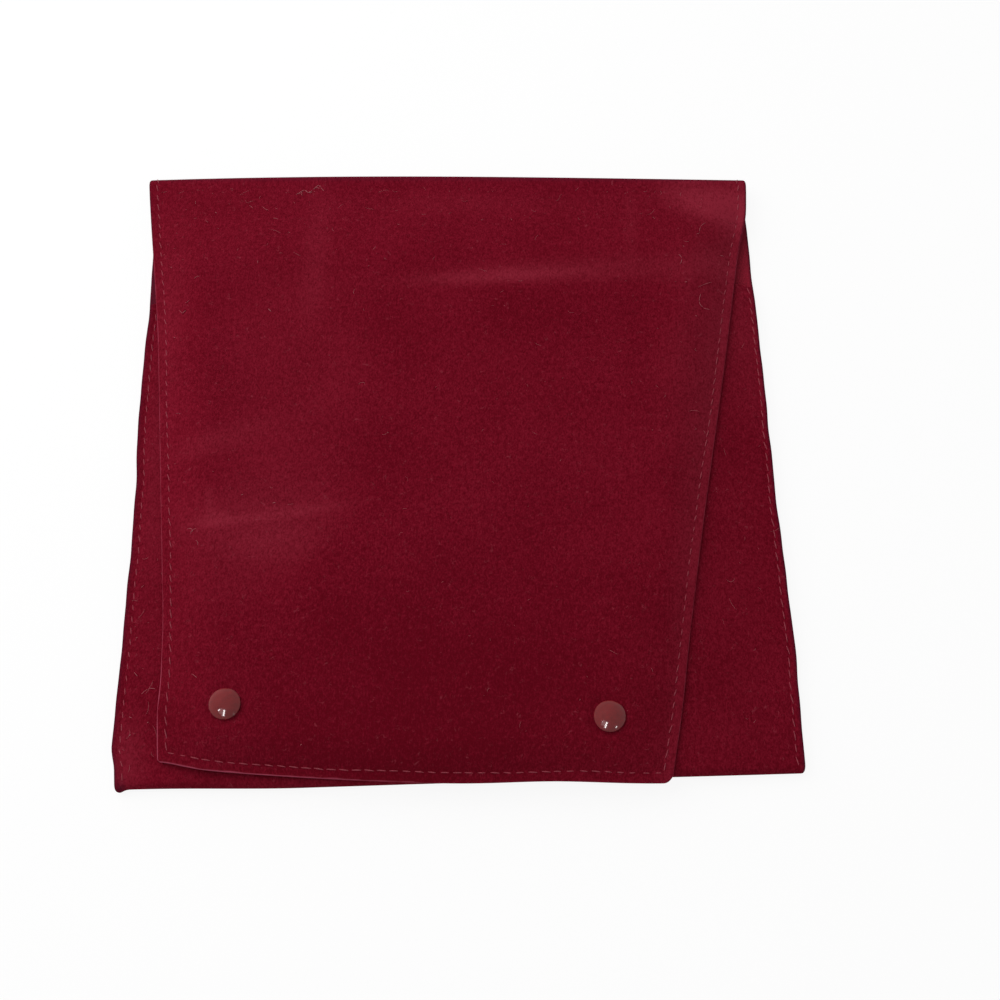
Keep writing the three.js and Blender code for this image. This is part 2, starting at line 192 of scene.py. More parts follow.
# Lint that stands out: across, down and length in millimetres, heading and bend in degrees, thickness
LINT_UNITS = np.array([MM, MM, MM, radians(1), radians(1), MM])
FLAP_LINT = (
    (-55.0, 8.1, 2.2, -25, 70, 0.22),
    (-54.3, 7.6, 3.0, -38, 30, 0.20),
    (-53.2, 6.6, 1.6, 80, 60, 0.20),
    (-52.0, 5.7, 1.8, 43, 0, 0.22),
    (-51.2, 6.3, 2.4, 10, -80, 0.18),
    (-50.6, 7.0, 1.8, -32, 0, 0.22),
    (-49.1, 6.0, 3.4, -47, 20, 0.20),
    (-48.4, 5.0, 2.0, 5, 60, 0.18),
    (-46.8, 3.6, 1.2, 53, 0, 0.20),
    (-46.1, 4.5, 2.1, 49, -30, 0.18),
    (-71.8, 12.8, 2.3, 42, 20, 0.15),
    (-67.1, 13.1, 3.5, 39, -15, 0.13),
    (-62.5, 19.0, 2.3, 16, 60, 0.14),
    (-83.7, 16.2, 0.6, 41, 0, 0.22),
    (-87.2, 19.6, 2.1, 47, 0, 0.12),
    (-88.4, 45.6, 2.4, -23, 60, 0.13),
    (-92.9, 57.1, 2.2, 46, 0, 0.16),
    (-91.4, 58.6, 1.4, -40, 0, 0.16),
    (-60.8, 57.4, 1.8, 44, 0, 0.24),
    (-66.3, 38.2, 1.3, 70, 90, 0.14),
    (-93.5, 67.3, 0.7, 57, 0, 0.16),
    (85.0, 34.8, 2.0, 51, 40, 0.15),
    (86.3, 36.4, 2.6, 105, 40, 0.15),
    (86.8, 31.1, 0.6, 51, 0, 0.20),
    (91.7, 25.5, 1.5, -25, -60, 0.13),
    (93.0, 24.9, 2.8, -80, 30, 0.12),
    (93.5, 22.1, 2.6, -45, 30, 0.12),
    (100.3, 33.3, 1.6, 0, 40, 0.14),
    (87.3, 45.9, 0.9, 0, 0, 0.18),
    (93.4, 49.7, 3.2, 103, -20, 0.14),
    (92.7, 52.7, 2.8, 63, -50, 0.14),
    (93.9, 55.2, 2.5, 7, -20, 0.14),
    (91.4, 48.1, 7.0, -31, 10, 0.10),
    (91.2, 58.6, 0.7, 28, 0, 0.18),
    (-82.0, 141.0, 3.0, 20, 150, 0.12),
    (-80.2, 143.0, 3.5, -60, 120, 0.12),
    (-79.0, 144.5, 2.5, 60, 80, 0.12),
    (-64.5, 128.0, 1.0, -30, 0, 0.16),
    (-53.5, 130.5, 1.2, -15, 0, 0.20),
    (-75.8, 189.8, 2.3, 32, 0, 0.12),
    (-37.5, 210.2, 0.6, -56, 0, 0.18),
    (53.3, 194.8, 0.6, -50, 0, 0.17),
)
FRONT_LINT = (
    (-105.3, 181.5, 2.3, 47, 20, 0.16),
    (-102.1, 189.3, 2.9, -41, 20, 0.15),
    (-99.9, 187.3, 2.5, 5, 20, 0.14),
    (-100.9, 189.5, 5.5, -63, -20, 0.10),
    (-105.3, 196.1, 1.1, 27, 0, 0.18),
    (-99.3, 198.5, 0.6, -38, 0, 0.24),
    (-104.6, 202.3, 0.6, -38, 0, 0.18),
)


def length(name, description, millimetres):
    """A property for a length, given in millimetres and kept in metres."""
    return bpy.props.FloatProperty(
        name=name, description=description, default=millimetres * MM, min=0.0, precision=5, unit="LENGTH"
    )


def fraction(name, description, default):
    """A property for a share of a whole."""
    return bpy.props.FloatProperty(
        name=name, description=description, default=default, min=0.1, max=1.0, subtype="FACTOR"
    )


def colour(name, description, red, green, blue):
    """A property for a finish's colour, in linear light."""
    return bpy.props.FloatVectorProperty(
        name=name, description=description, default=(red, green, blue, 1.0), size=4, min=0.0, max=1.0,
        subtype="COLOR",
    )


class PouchSizes(bpy.types.PropertyGroup):
    """Sizes of the strip, the flap, the stitching and the press studs."""

    strip_width: length("Strip width", "Width of the cloth strip", 220)
    body_length: length("Body length", "From the top fold's crest to the bottom fold", 220)
    mouth_drop: length("Mouth drop", "From the top fold down to the pocket's mouth", 46)
    mouth_droop: length("Mouth droop", "How much further down the mouth's ends are", 2)
    body_corner: length("Body corner", "Radius of the bottom fold's right end", 1.3)
    fold_skew: bpy.props.FloatProperty(
        name="Fold skew",
        description="Lean of the body, and the other way of the flap, from square to the fold",
        default=radians(1.85), unit="ROTATION",
    )
    velvet_thickness: length("Velvet thickness", "Thickness of the outer cloth with its pile", 1.0)
    lining_thickness: length("Lining thickness", "Thickness of the lining", 0.6)
    layer_gap: length("Layer gap", "Air between velvet and lining", 0.15)
    edge_roll: length("Edge roll", "Width over which a cut edge rounds off", 0.8)
    fold_arch: length("Fold arch", "Rise of the top fold's crest in its middle", 1.9)
    lining_turn: length("Lining turn", "Half the height over which the lining turns when the flap opens", 0.2)

    pocket_gap: length("Pocket gap", "Height inside the pocket at its fullest", 5)
    bottom_gap: length("Bottom gap", "Height inside the pocket at the bottom fold", 2.3)
    seam_gap: length("Seam gap", "Height left between the linings at the seams", 0.3)
    side_taper: length("Side taper", "Width over which the pocket closes towards a seam", 46)
    bottom_taper: length("Bottom taper", "Length over which the pocket closes towards the bottom fold", 70)

    flap_length: length("Flap length", "From the top fold's crest to the flap's tip at its sides", 219.5)
    flap_tip_width: length("Flap tip width", "Width of the flap at its tip", 162)
    flap_tip_bow: length("Flap tip bow", "How far the tip's middle reaches past its corners", 2.5)
    flap_rise_end: length("Flap rise", "Distance down at which the flap has risen over the pocket", 39)
    flap_edge_droop: length("Flap edge droop", "Width over which the flap droops to its cut edges", 21)
    flap_edge_lift: length("Flap edge lift", "Height of the flap's cut edges above the front panel", 0.5)
    flap_edge_press: fraction("Flap edge press", "Share of the thickness that the flap's edges keep", 0.6)
    flap_tip_droop: length("Flap tip droop", "How far the tip droops", 2.4)
    flap_tip_droop_length: length("Flap tip droop length", "Length over which the tip droops", 12)
    flap_right_corner: length("Flap right corner", "Radius of the flap's right corner", 2.7)
    flap_left_corner: length("Flap left corner", "Radius of the flap's left corner", 1.2)
    flap_left_hollow: length("Left hollow", "How far the flap's left edge bows inwards", 2.0)
    flap_right_swell: length("Right swell", "How far the flap's right edge swells out near the fold", 1.25)

    thread_diameter: length("Thread diameter", "Thickness of the sewing thread", 0.36)
    stitch_pitch: length("Stitch pitch", "Length of one stitch and the gap after it", 4.0)
    stitch_show: fraction("Stitch show", "Share of each stitch's pitch that lies on the cloth's face", 0.92)
    flap_stitch_inset: length("Flap stitch inset", "Topstitching from the flap's cut edges", 3.1)
    seam_inset: length("Seam inset", "Side seams from the pouch's edges", 2.6)
    hem_inset: length("Hem inset", "Hem stitching from the pocket's mouth", 3)

    stud_pad: length("Stud pad", "Radius of the level cloth under a stud", 5.2)
    cap_dent: length("Cap dent", "Radius of the ring that a cap presses into the pile", 5.6)
    cap_rim: length("Cap rim", "Height of a cap's upright rim below its dome", 0.55)
    metal_edge: length("Metal edge", "Rounding of the brass pieces' edges", 0.12)


class PouchColours(bpy.types.PropertyGroup):
    """Colours of the cloth, the thread and the press studs."""

    pile_deep: colour("Pile in shade", "Velvet where its tufts part", 0.094, 0.0014, 0.0064)
    pile: colour("Pile", "Velvet", 0.127, 0.0027, 0.0105)
    pile_tip: colour("Pile tips", "Velvet where its tufts catch the light", 0.168, 0.0056, 0.0166)
    # Brushed pile, also used for painted light
    pile_brushed_and_lit: colour("Brushed pile", "Velvet brushed flat", 0.212, 0.0140, 0.0290)
    fibre: colour("Fibre", "Single fibres that stand out of the pile", 0.270, 0.0420, 0.0620)
    # The raw backing's pale rim, and painted highlight along the flap's lit left edge
    cut_edge_and_highlight: colour("Cut edge", "Raw edge of the velvet's backing", 0.300, 0.0450, 0.0780)
    # Painted shade along the rolled side edges, the top fold's crest and the nub at the bottom left corner
    painted_edge_shade: colour("Shaded edge", "Rolled edges of the pouch's sides", 0.060, 0.0040, 0.0130)
    lining: colour("Lining", "Raised yarns of the lining", 0.260, 0.0120, 0.0280)
    lining_deep: colour("Lining in shade", "Sunk yarns of the lining", 0.160, 0.0065, 0.0170)
    thread: colour("Thread", "Sewing thread", 0.290, 0.0450, 0.0650)
    thread_deep: colour("Thread in shade", "Sewing thread between its plies", 0.165, 0.0180, 0.0290)
    enamel: colour("Enamel", "Glossy caps", 0.165, 0.0075, 0.0095)
    brass: colour("Brass", "Sockets, studs and posts", 0.640, 0.4300, 0.1750)
    brass_worn: colour("Worn brass", "Rubbed and tarnished brass", 0.340, 0.2050, 0.0750)
    lint: colour("Lint", "Loose fibres on the pile", 0.390, 0.1200, 0.1350)


def ease(value, low, high):
    """0 below low, 1 above high and 3t² - 2t³ between, with t the share of the way."""
    share = np.clip((value - low) / (high - low), 0.0, 1.0)
    return share * share * (3.0 - 2.0 * share)


def between(start, end, share):
    """The value that share of the way from start to end."""
    return start + (end - start) * share


def bell(value, centre, width):
    """A bell of height 1: e to the power of minus the square of the distance from centre over width."""
    return np.exp(-(((value - centre) / width) ** 2))


def bumps(place, table):
    """The sum of bells, each given by its height and, in millimetres, its place and half width."""
    return sum(height * bell(place, centre * MM, width * MM) for height, centre, width in table)


def slopes(place, table):
    """The sum of eased steps, each given by its height and, in millimetres, its start and end."""
    return sum(height * ease(place, start * MM, end * MM) for height, start, end in table)


def groove(distance, inset, section):
    """A groove at an inset: a bell of the section's depth and half width, below 0."""
    depth, width = section
    return -depth * bell(distance, inset, width)


def rounded(distance, roll):
    """Share of full thickness at a distance from a cut edge: a quarter circle over roll, then 1."""
    return np.sqrt(1.0 - (1.0 - np.clip(distance / roll, 0.0, 1.0)) ** 2)


def ripple(x, y, wavelength, seed, waves=7):
    """Slow unevenness of about -1 to 1: the sum of plane waves in seeded directions, over a root."""
    draw = np.random.default_rng(seed)
    turn, phase = draw.uniform(0.0, 2.0 * np.pi, (2, waves))
    count = 2.0 * np.pi / (wavelength * draw.uniform(0.7, 1.5, waves))
    along = np.multiply.outer(x, np.cos(turn)) + np.multiply.outer(y, np.sin(turn))
    return np.sin(along * count + phase).sum(-1) / np.sqrt(2.0 * waves)


def brushed(across, down, patches):
    """How much paler the pile is, from brushing and from painted light, and how much darker below 0, partly
    from painted shade: the sum of slanted ovals.

    An oval has its strength in the middle and falls as e to the power of minus r to the 2.8, with r the
    distance from its middle in half lengths and half widths.
    """
    total = np.zeros(np.broadcast_shapes(across.shape, down.shape))
    for patch_across, patch_down, half_length, half_width, turn, strength in patches:
        aside = across / MM - patch_across
        below = down / MM - patch_down
        long = (aside * cos(radians(turn)) + below * sin(radians(turn))) / half_length
        wide = (below * cos(radians(turn)) - aside * sin(radians(turn))) / half_width
        total = total + strength * np.exp(-((long**2 + wide**2) ** 1.4))
    return total


class PouchShape:
    """Where the cloth lies, from the sizes and the frame."""

    def __init__(self, sizes):
        self.sizes = sizes
        low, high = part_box("top_fold_velvet")
        self.stack = sizes.velvet_thickness + sizes.layer_gap + sizes.lining_thickness
        self.fold_radius = (high.z - low.z) / 2
        self.fold_inner = self.fold_radius - self.stack
        self.fold_middle = (high.y - self.fold_radius, (low.z + high.z) / 2)
        self.crest = (-high.y * tan(sizes.fold_skew), high.y)
        self.half = sizes.strip_width / 2
        self.flap_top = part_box("flap_velvet")[1].z
        self.stud_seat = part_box("left_stud")[0].z
        self.snaps = [sum(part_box(side + "_cap"), Vector()).xy / 2 for side in SIDES]
        self.velvet = (sizes.lining_thickness + sizes.layer_gap, self.stack)
        self.lining = (0.0, sizes.lining_thickness)
        self.front_run = sizes.body_length - sizes.mouth_drop - self.stack - sizes.bottom_gap / 2
        self.bend_run = np.pi * (self.stack + sizes.bottom_gap) / 2
        self.back_run = sizes.body_length - self.stack - sizes.bottom_gap / 2 - self.fold_radius
        self.fold_run = np.pi * (self.fold_inner + self.stack / 2)
        self.flap_run = sizes.flap_length - self.fold_radius

    def body_plan(self, across, down):
        """Plan of a place on the body: the strip's own axes, leaning by the skew about the crest."""
        lean = self.sizes.fold_skew
        x = self.crest[0] + across * cos(lean) + down * sin(lean)
        return x, self.crest[1] + across * sin(lean) - down * cos(lean)

    def flap_plan(self, across, down):
        """Plan of a place on the flap: the strip's own axes, leaning the other way."""
        lean = self.sizes.fold_skew
        x = self.crest[0] + across * cos(lean) - down * sin(lean)
        return x, self.crest[1] - across * sin(lean) - down * cos(lean)

    def body_place(self, x, y):
        """Distance across and down the body at a point of the plan: body_plan turned back."""
        lean = self.sizes.fold_skew
        across = (x - self.crest[0]) * cos(lean) + (y - self.crest[1]) * sin(lean)
        return across, (x - self.crest[0]) * sin(lean) - (y - self.crest[1]) * cos(lean)

    def from_stud(self, x, y):
        """Distance in plan from the middle of the nearer press stud."""
        return np.minimum(*(np.hypot(x - snap.x, y - snap.y) for snap in self.snaps))

    def stitch_pull(self, along):
        """How hard a row of stitches pulls: 1 where the thread goes through, falling to a half between."""
        return 0.75 + 0.25 * np.cos(2 * np.pi * along / self.sizes.stitch_pitch)

    def seam_share(self, across):
        """1 in the middle of the pocket, easing to 0 at the seams."""
        seam = self.half - self.sizes.seam_inset
        return 1.0 - ease(np.abs(across), seam - self.sizes.side_taper, seam)

    def fold_gap(self, across):
        """Height inside the bottom fold."""
        return between(self.sizes.seam_gap, self.sizes.bottom_gap, self.seam_share(across))

    def bend_start(self, across):
        """Distance down at which the front panel starts to bend round the bottom fold.

        The strip was folded up a little out of square, so the fold lies lower towards the right, where
        its end is rounded off.
        """
        askew = slopes(across, BOTTOM_FOLD_SLOPES) * MM
        radius = self.sizes.body_corner
        corner = radius * (1.0 - rounded(self.half - across, radius))
        return self.sizes.body_length + askew - corner - self.stack - self.fold_gap(across) / 2

    def pocket_gap(self, across, down):
        """Height inside the pocket: eased in at the seams and the bottom, and level under the studs."""
        sizes = self.sizes
        rise = ease(self.bend_start(across) - down, 0.0, sizes.bottom_taper)
        full = between(sizes.bottom_gap, sizes.pocket_gap, rise)
        gap = between(sizes.seam_gap, full, self.seam_share(across))
        near_fold = ease(self.bend_start(across) - down, 0.0, self.stack)
        away = self.from_stud(*self.body_plan(across, down))
        pad = (1.0 - ease(away, sizes.stud_pad, 3 * sizes.stud_pad)) * near_fold
        return between(gap, self.stud_seat - 2 * self.stack, pad)

    def front_height(self, x, y):
        """Height of the front panel's velvet, carried on up to the top fold past the pocket's mouth."""
        sizes = self.sizes
        across, down = self.body_place(x, y)
        inside = np.clip(down, sizes.mouth_drop, self.bend_start(across))
        front = 2 * self.stack + self.pocket_gap(across, inside)
        root = self.fold_radius + self.fold_inner - sizes.flap_edge_lift
        return between(root, front, ease(down, 0.0, sizes.mouth_drop))

    def side_wander(self, across, down):
        """How far the pouch's sides stray outwards: bumps and slopes along each edge, fading inwards."""
        left = bumps(down, LEFT_SIDE_BUMPS) + slopes(down, LEFT_SIDE_SLOPES)
        right = bumps(down, RIGHT_SIDE_BUMPS)
        uneven = 0.2 * ripple(down, across * 0.1, 21 * MM, seed=3)
        out = (np.where(across < 0, left, right) + uneven) * MM
        near_side = ease(np.abs(across), 0.4 * self.half, self.half)
        return np.sign(across) * out * near_side * ease(down, 0.0, 20 * MM)

    def body_surface(self, across, run, offset):
        """Front, bottom fold and back of the body at a depth of offset from the lining's inner face.

        Run is 0 to 1 down the front from the mouth, 1 to 2 round the half circle of the bottom fold and
        2 to 3 up the back to the top fold.
        """
        sizes = self.sizes
        start = self.bend_start(across)
        turn = np.pi * (0.5 - np.clip(run - 1.0, 0.0, 1.0))
        gap = self.fold_gap(across)
        radius = gap / 2 + offset
        nub_reach, nub_inset, nub_width = CORNER_NUB
        nub = nub_reach * bell(across, nub_inset - self.half, nub_width)
        rise = self.crest[1] - self.fold_middle[0]
        top_end = (rise + across * sin(sizes.fold_skew)) / cos(sizes.fold_skew)
        corner = 1.0 - ease(self.half - np.abs(across), 0.0, MOUTH_CORNER)
        mouth = sizes.mouth_drop + sizes.mouth_droop * corner
        front = between(mouth, start, np.clip(run, 0.0, 1.0))
        back = between(start, top_end, np.clip(run - 2.0, 0.0, 1.0))
        bend = start + (radius + nub) * np.cos(turn)
        down = np.select([run <= 1.0, run <= 2.0], [front, bend], back)
        share = offset / self.stack
        front_z = self.stack + self.pocket_gap(across, front) + offset
        front_z = front_z + share * self.front_relief(across, front)
        bend_z = self.stack + gap / 2 + radius * np.sin(turn)
        back_z = self.stack - offset - share * self.seam_relief(across, back)
        z = np.select([run <= 1.0, run <= 2.0], [front_z, bend_z], back_z)
        tuck = MOUTH_TUCK * (1.0 - ease(front - mouth, 0.0, MOUTH_TUCK_LENGTH)) * (run <= 1.0)
        x, y = self.body_plan(across + self.side_wander(across, down) - tuck * across / self.half, down)
        return np.stack(np.broadcast_arrays(x, y, z), -1)

    def seam_relief(self, across, down):
        """Groove that a side seam pulls in below the mouth, deepest where the thread goes through."""
        sizes = self.sizes
        pulled = self.stitch_pull(down) * groove(self.half - np.abs(across), sizes.seam_inset, SEAM_GROOVE)
        sewn = ease(down, sizes.mouth_drop, sizes.mouth_drop + sizes.stitch_pitch)
        ends = ease(sizes.body_length - down, self.stack, self.stack + sizes.stitch_pitch)
        return pulled * sewn * ends

    def front_relief(self, across, down):
        """Rise and fall of the front panel's face: seam and hem grooves, puckers and slow ripples."""
        sizes = self.sizes
        from_side = self.half - np.abs(across)
        hem = groove(down - sizes.mouth_drop, sizes.hem_inset, HEM_GROOVE)
        pucker = 0.16 * MM * ripple(down, across * 0.2, 11 * MM, seed=5) * bell(from_side, 5 * MM, 5 * MM)
        slow = 0.16 * MM * ripple(across, down, 46 * MM, seed=8)
        fade = ease(self.bend_start(across) - down, 0.0, 6 * MM)
        return self.seam_relief(across, down) + (hem + pucker + slow) * fade

    def flap_half(self, across, down):
        """Half width of the flap on the side of across.

        It narrows evenly, apart from the left edge's hollow and the right edge's swell near the fold.
        """
        sizes = self.sizes
        straight = between(self.half, sizes.flap_tip_width / 2, down / sizes.flap_length)
        left = sizes.flap_left_hollow * slopes(down, FLAP_LEFT_SLOPES)
        right = sizes.flap_right_swell * (slopes(down, FLAP_RIGHT_SLOPES) + bumps(down, FLAP_RIGHT_BUMPS))
        return straight + np.where(across < 0, left, right)

    def flap_margins(self, across, down):
        """Distances in from the flap's side edge and up from its tip."""
        return self.flap_half(across, down) - np.abs(across), self.sizes.flap_length - down

    def flap_under(self, across, down, x, y):
        """Height of the flap's lining: risen over the pocket, drooping at the cut edges and the tip."""
        sizes = self.sizes
        from_side, from_tip = self.flap_margins(across, down)
        root = self.fold_radius + self.fold_inner
        rise = ease(down, self.fold_radius, sizes.flap_rise_end)
        droop = sizes.flap_tip_droop * (1.0 - ease(from_tip, 0.0, sizes.flap_tip_droop_length))
        middle = between(root, self.flap_top - self.stack, rise) - droop
        edge = np.minimum(middle, self.front_height(x, y) + sizes.flap_edge_lift)
        fastened = 1.0 - ease(self.from_stud(x, y), sizes.cap_dent, 3 * sizes.cap_dent)
        level = np.maximum(ease(from_side, 0.0, sizes.flap_edge_droop), fastened)
        return between(edge, middle, level)

    def flap_relief(self, across, down, x, y):
        """Rise and fall of the flap's face: stitch groove, pressed rings round the caps and slow ripples."""
        sizes = self.sizes
        from_side, from_tip = self.flap_margins(across, down)
        from_edge = np.minimum(from_side, from_tip)
        along = np.where(from_side < from_tip, down, across)
        pulled = self.stitch_pull(along) * groove(from_edge, sizes.flap_stitch_inset, TOPSTITCH_GROOVE)
        pucker = 0.14 * MM * ripple(along, from_edge * 0.2, 12 * MM, seed=11)
        pucker = pucker * bell(from_edge, 6 * MM, 5 * MM)
        away = self.from_stud(x, y)
        clear = ease(away, sizes.cap_dent, 3 * sizes.cap_dent)
        slow = 0.20 * MM * ripple(x, y, 52 * MM, seed=13) * clear
        pressed = groove(away, sizes.cap_dent, CAP_GROOVE) + CAP_SEAT_RISE * (1.0 - clear)
        return (pulled + pucker + slow + pressed) * ease(down, 4 * MM, 20 * MM)

    def flap_place(self, column, distance):
        """Distance across and down the flap at a column of its grid and a distance past the top fold.

        A column is the distance across at the fold. Near the cut edges it keeps its inset as the flap
        narrows, and between them it keeps its share. The tip's corners are pulled in to quarter circles
        by the rule that takes a square to a disc.
        """
        sizes = self.sizes
        down = self.fold_radius + distance
        half = self.flap_half(column, down)
        inset = self.half - np.abs(column)
        inner = column * (half - EDGE_MARGIN) / (self.half - EDGE_MARGIN)
        across = np.where(inset < EDGE_MARGIN, np.sign(column) * (half - inset), inner)
        radius = np.where(column < 0, sizes.flap_left_corner, sizes.flap_right_corner)
        side = np.clip(1.0 - (half - np.abs(across)) / radius, 0.0, 1.0)
        tip = np.clip(1.0 - (sizes.flap_length - down) / radius, 0.0, 1.0)
        across = across - np.sign(across) * radius * side * (1.0 - np.sqrt(1.0 - tip**2 / 2))
        return across, down - radius * tip * (1.0 - np.sqrt(1.0 - side**2 / 2))

    def flap_surface(self, column, run, offset):
        """Top fold and flap at a depth of offset from the lining's inner face.

        Run is 0 to 1 round the half circle of the fold, and after that 1 more than the distance past it.
        Towards its sewn edges the flap is pressed thinner.
        """
        sizes = self.sizes
        across, down = self.flap_place(column, np.clip(run - 1.0, 0.0, None))
        share = (down - self.fold_radius) / self.flap_run
        squaring = -across * sin(sizes.fold_skew) * (1.0 - share)
        bow = sizes.flap_tip_bow * (1.0 - (across / self.flap_half(across, down)) ** 2)
        bow = (bow + bumps(across, FLAP_TIP_BUMPS) * MM) * share**2
        x, y = self.flap_plan(across, down + squaring + bow)
        relief = self.flap_relief(across, down, x, y) * offset / self.stack
        full = ease(np.minimum(*self.flap_margins(across, down)), 0.0, 2 * sizes.flap_stitch_inset)
        full = np.maximum(full, 1.0 - ease(down, self.fold_radius, sizes.flap_rise_end))
        pressed = offset * between(sizes.flap_edge_press, 1.0, full)
        z = self.flap_under(across, down, x, y) + pressed + relief

        turn = np.pi * (np.clip(run, 0.0, 1.0) - 0.5)
        radius = self.fold_inner + offset
        from_middle = column / self.half
        arch = sizes.fold_arch * (1.0 - from_middle**2) * (1.0 - 0.35 * from_middle)
        arch = arch * ease(offset, self.lining[1], self.velvet[0])
        fold_x = between(self.body_plan(column, self.fold_radius)[0], x, run)
        fold_y = self.fold_middle[0] + (radius + arch) * np.cos(turn)
        fold_z = self.fold_middle[1] + radius * np.sin(turn)
        folded = np.stack(np.broadcast_arrays(fold_x, fold_y, fold_z), -1)
        laid = np.stack(np.broadcast_arrays(x, y, z), -1)
        return np.where((run < 1.0)[..., None], folded, laid)


def edge_steps(reach, widest):
    """Distances from an edge, each step longer than the last by a fixed share, up to reach."""
    count = int(np.ceil(np.log(widest / EDGE_STEP) / np.log(EDGE_GROWTH)))
    places = np.concatenate([[0.0], np.cumsum(EDGE_STEP * EDGE_GROWTH ** np.arange(count))])
    return np.concatenate([places[places < reach - widest / 2], [reach]])


def even_steps(start, end, step):
    """Places from start to end, as near as can be to step apart."""
    return np.linspace(start, end, int(np.ceil((end - start) / step)) + 1)


def across_lines(half, step):
    """Lines from -half to half, fine at both edges and evenly spaced between the margins."""
    edge = edge_steps(EDGE_MARGIN, step)
    inner = half - EDGE_MARGIN
    return np.concatenate([edge[:-1] - half, even_steps(-inner, inner, step), half - edge[-2::-1]])


def grid_quads(index):
    """Quads between the neighbours of a grid of vertex numbers."""
    corners = (index[:-1, :-1], index[1:, :-1], index[1:, 1:], index[:-1, 1:])
    return np.stack(corners, -1).reshape(-1, 4)


def make_piece(name, points, faces, material):
    """A smooth mesh object at the origin from arrays of points and faces."""
    mesh = bpy.data.meshes.new(name)
    mesh.from_pydata(points.reshape(-1, 3), [], faces)
    mesh.polygons.foreach_set("use_smooth", np.ones(len(mesh.polygons), bool))
    mesh.materials.append(material)
    mesh.update()
    piece = bpy.data.objects.new(name, mesh)
    bpy.context.scene.collection.objects.link(piece)
    return piece


def set_map(piece, places):
    """Gives each vertex its place on the flat cloth, in metres, as the piece's UV map."""
    mesh = piece.data
    corner_vertex = np.zeros(len(mesh.loops), np.int32)
    mesh.loops.foreach_get("vertex_index", corner_vertex)
    layer = mesh.uv_layers.new(name=CLOTH_MAP)
    layer.uv.foreach_set("vector", places[corner_vertex].astype(np.float32).ravel())


def set_shares(piece, name, values):
    """Stores one number for each vertex, for the piece's material to read."""
    attribute = piece.data.attributes.new(name, "FLOAT", "POINT")
    attribute.data.foreach_set("value", values.astype(np.float32))


def with_back(values):
    """Values of a face grid, followed by those of the back grid, which lacks the shared rim."""
    parts = (values, values[1:-1, 1:-1])
    return np.concatenate([part.reshape(-1, *values.shape[2:]) for part in parts])


def cloth_piece(name, surface, grid, span, fullness, places, material):
    """A closed cloth layer: face and back grids of a surface that meet along all four edges.

    The two faces lie half the layer's thickness, times its fullness there, on either side of the layer's
    middle, so a fullness of 0 round the rim closes the sheet.
    """
    column, run = grid
    middle = (span[0] + span[1]) / 2
    reach = (span[1] - span[0]) / 2 * fullness
    face = surface(column, run, middle + reach)
    back = surface(column, run, middle - reach)
    rows, lines = column.shape
    face_index = np.arange(rows * lines).reshape(rows, lines)
    back_index = face_index.copy()
    back_index[1:-1, 1:-1] = rows * lines + np.arange((rows - 2) * (lines - 2)).reshape(rows - 2, lines - 2)
    points = np.concatenate([face.reshape(-1, 3), back[1:-1, 1:-1].reshape(-1, 3)])
    faces = np.concatenate([grid_quads(face_index)[:, ::-1], grid_quads(back_index)])
    piece = make_piece(name, points, faces.tolist(), material)
    set_map(piece, with_back(places))
    return piece


def body_grid(shape, step):
    """Columns and runs of the body's cloth, with its fullness and its places on the flat strip.

    The last two rows lie close together, first full and then closed, for the plain end at the top fold.
    """
    sizes = shape.sizes
    columns = across_lines(shape.half, step)
    mouth = edge_steps(EDGE_MARGIN, step)
    front = np.concatenate([mouth[:-1], even_steps(EDGE_MARGIN, shape.front_run, step)])
    bend = 1.0 + np.linspace(0.0, 1.0, BEND_STEPS + 1)[1:]
    back = 2.0 + np.linspace(0.0, 1.0, len(front))[1:]
    end = [3.0 - END_STEP / shape.back_run, 3.0]
    runs = np.concatenate([front / shape.front_run, bend, back[:-1], end])
    ends = np.cumsum([0.0, shape.front_run, shape.bend_run, shape.back_run])
    grid = np.meshgrid(columns, runs, indexing="ij")
    places = np.stack([grid[0], np.interp(grid[1], [0.0, 1.0, 2.0, 3.0], ends)], -1)
    fullness = rounded(shape.half - np.abs(grid[0]), sizes.edge_roll)
    fullness = fullness * rounded(np.clip(grid[1], 0.0, 1.0) * shape.front_run, sizes.edge_roll)
    fullness[:, -1] = 0.0
    return grid, fullness, places


def flap_grid(shape, step):
    """Columns and runs of the top fold and flap, with fullness and places on the flat strip.

    The first two rows lie close together, first closed and then full, for the plain end at the back panel.
    """
    sizes = shape.sizes
    columns = across_lines(shape.half, step)
    tip = shape.flap_run - edge_steps(EDGE_MARGIN, step)[-2::-1]
    fold = np.linspace(0.0, 1.0, BEND_STEPS + 1)
    laid = np.concatenate([even_steps(0.0, shape.flap_run - EDGE_MARGIN, step)[1:], tip])
    runs = np.concatenate([[0.0, END_STEP / shape.fold_run], fold[1:], 1.0 + laid])
    grid = np.meshgrid(columns, runs, indexing="ij")
    past_fold = np.clip(grid[1] - 1.0, 0.0, None)
    start = shape.front_run + shape.bend_run + shape.back_run
    along = start + np.clip(grid[1], 0.0, 1.0) * shape.fold_run + past_fold
    places = np.stack([shape.flap_place(grid[0], past_fold)[0], along], -1)
    fullness = rounded(shape.half - np.abs(grid[0]), sizes.edge_roll)
    fullness = fullness * rounded(shape.flap_run - past_fold, sizes.edge_roll)
    fullness[:, 0] = 0.0
    return grid, fullness, places


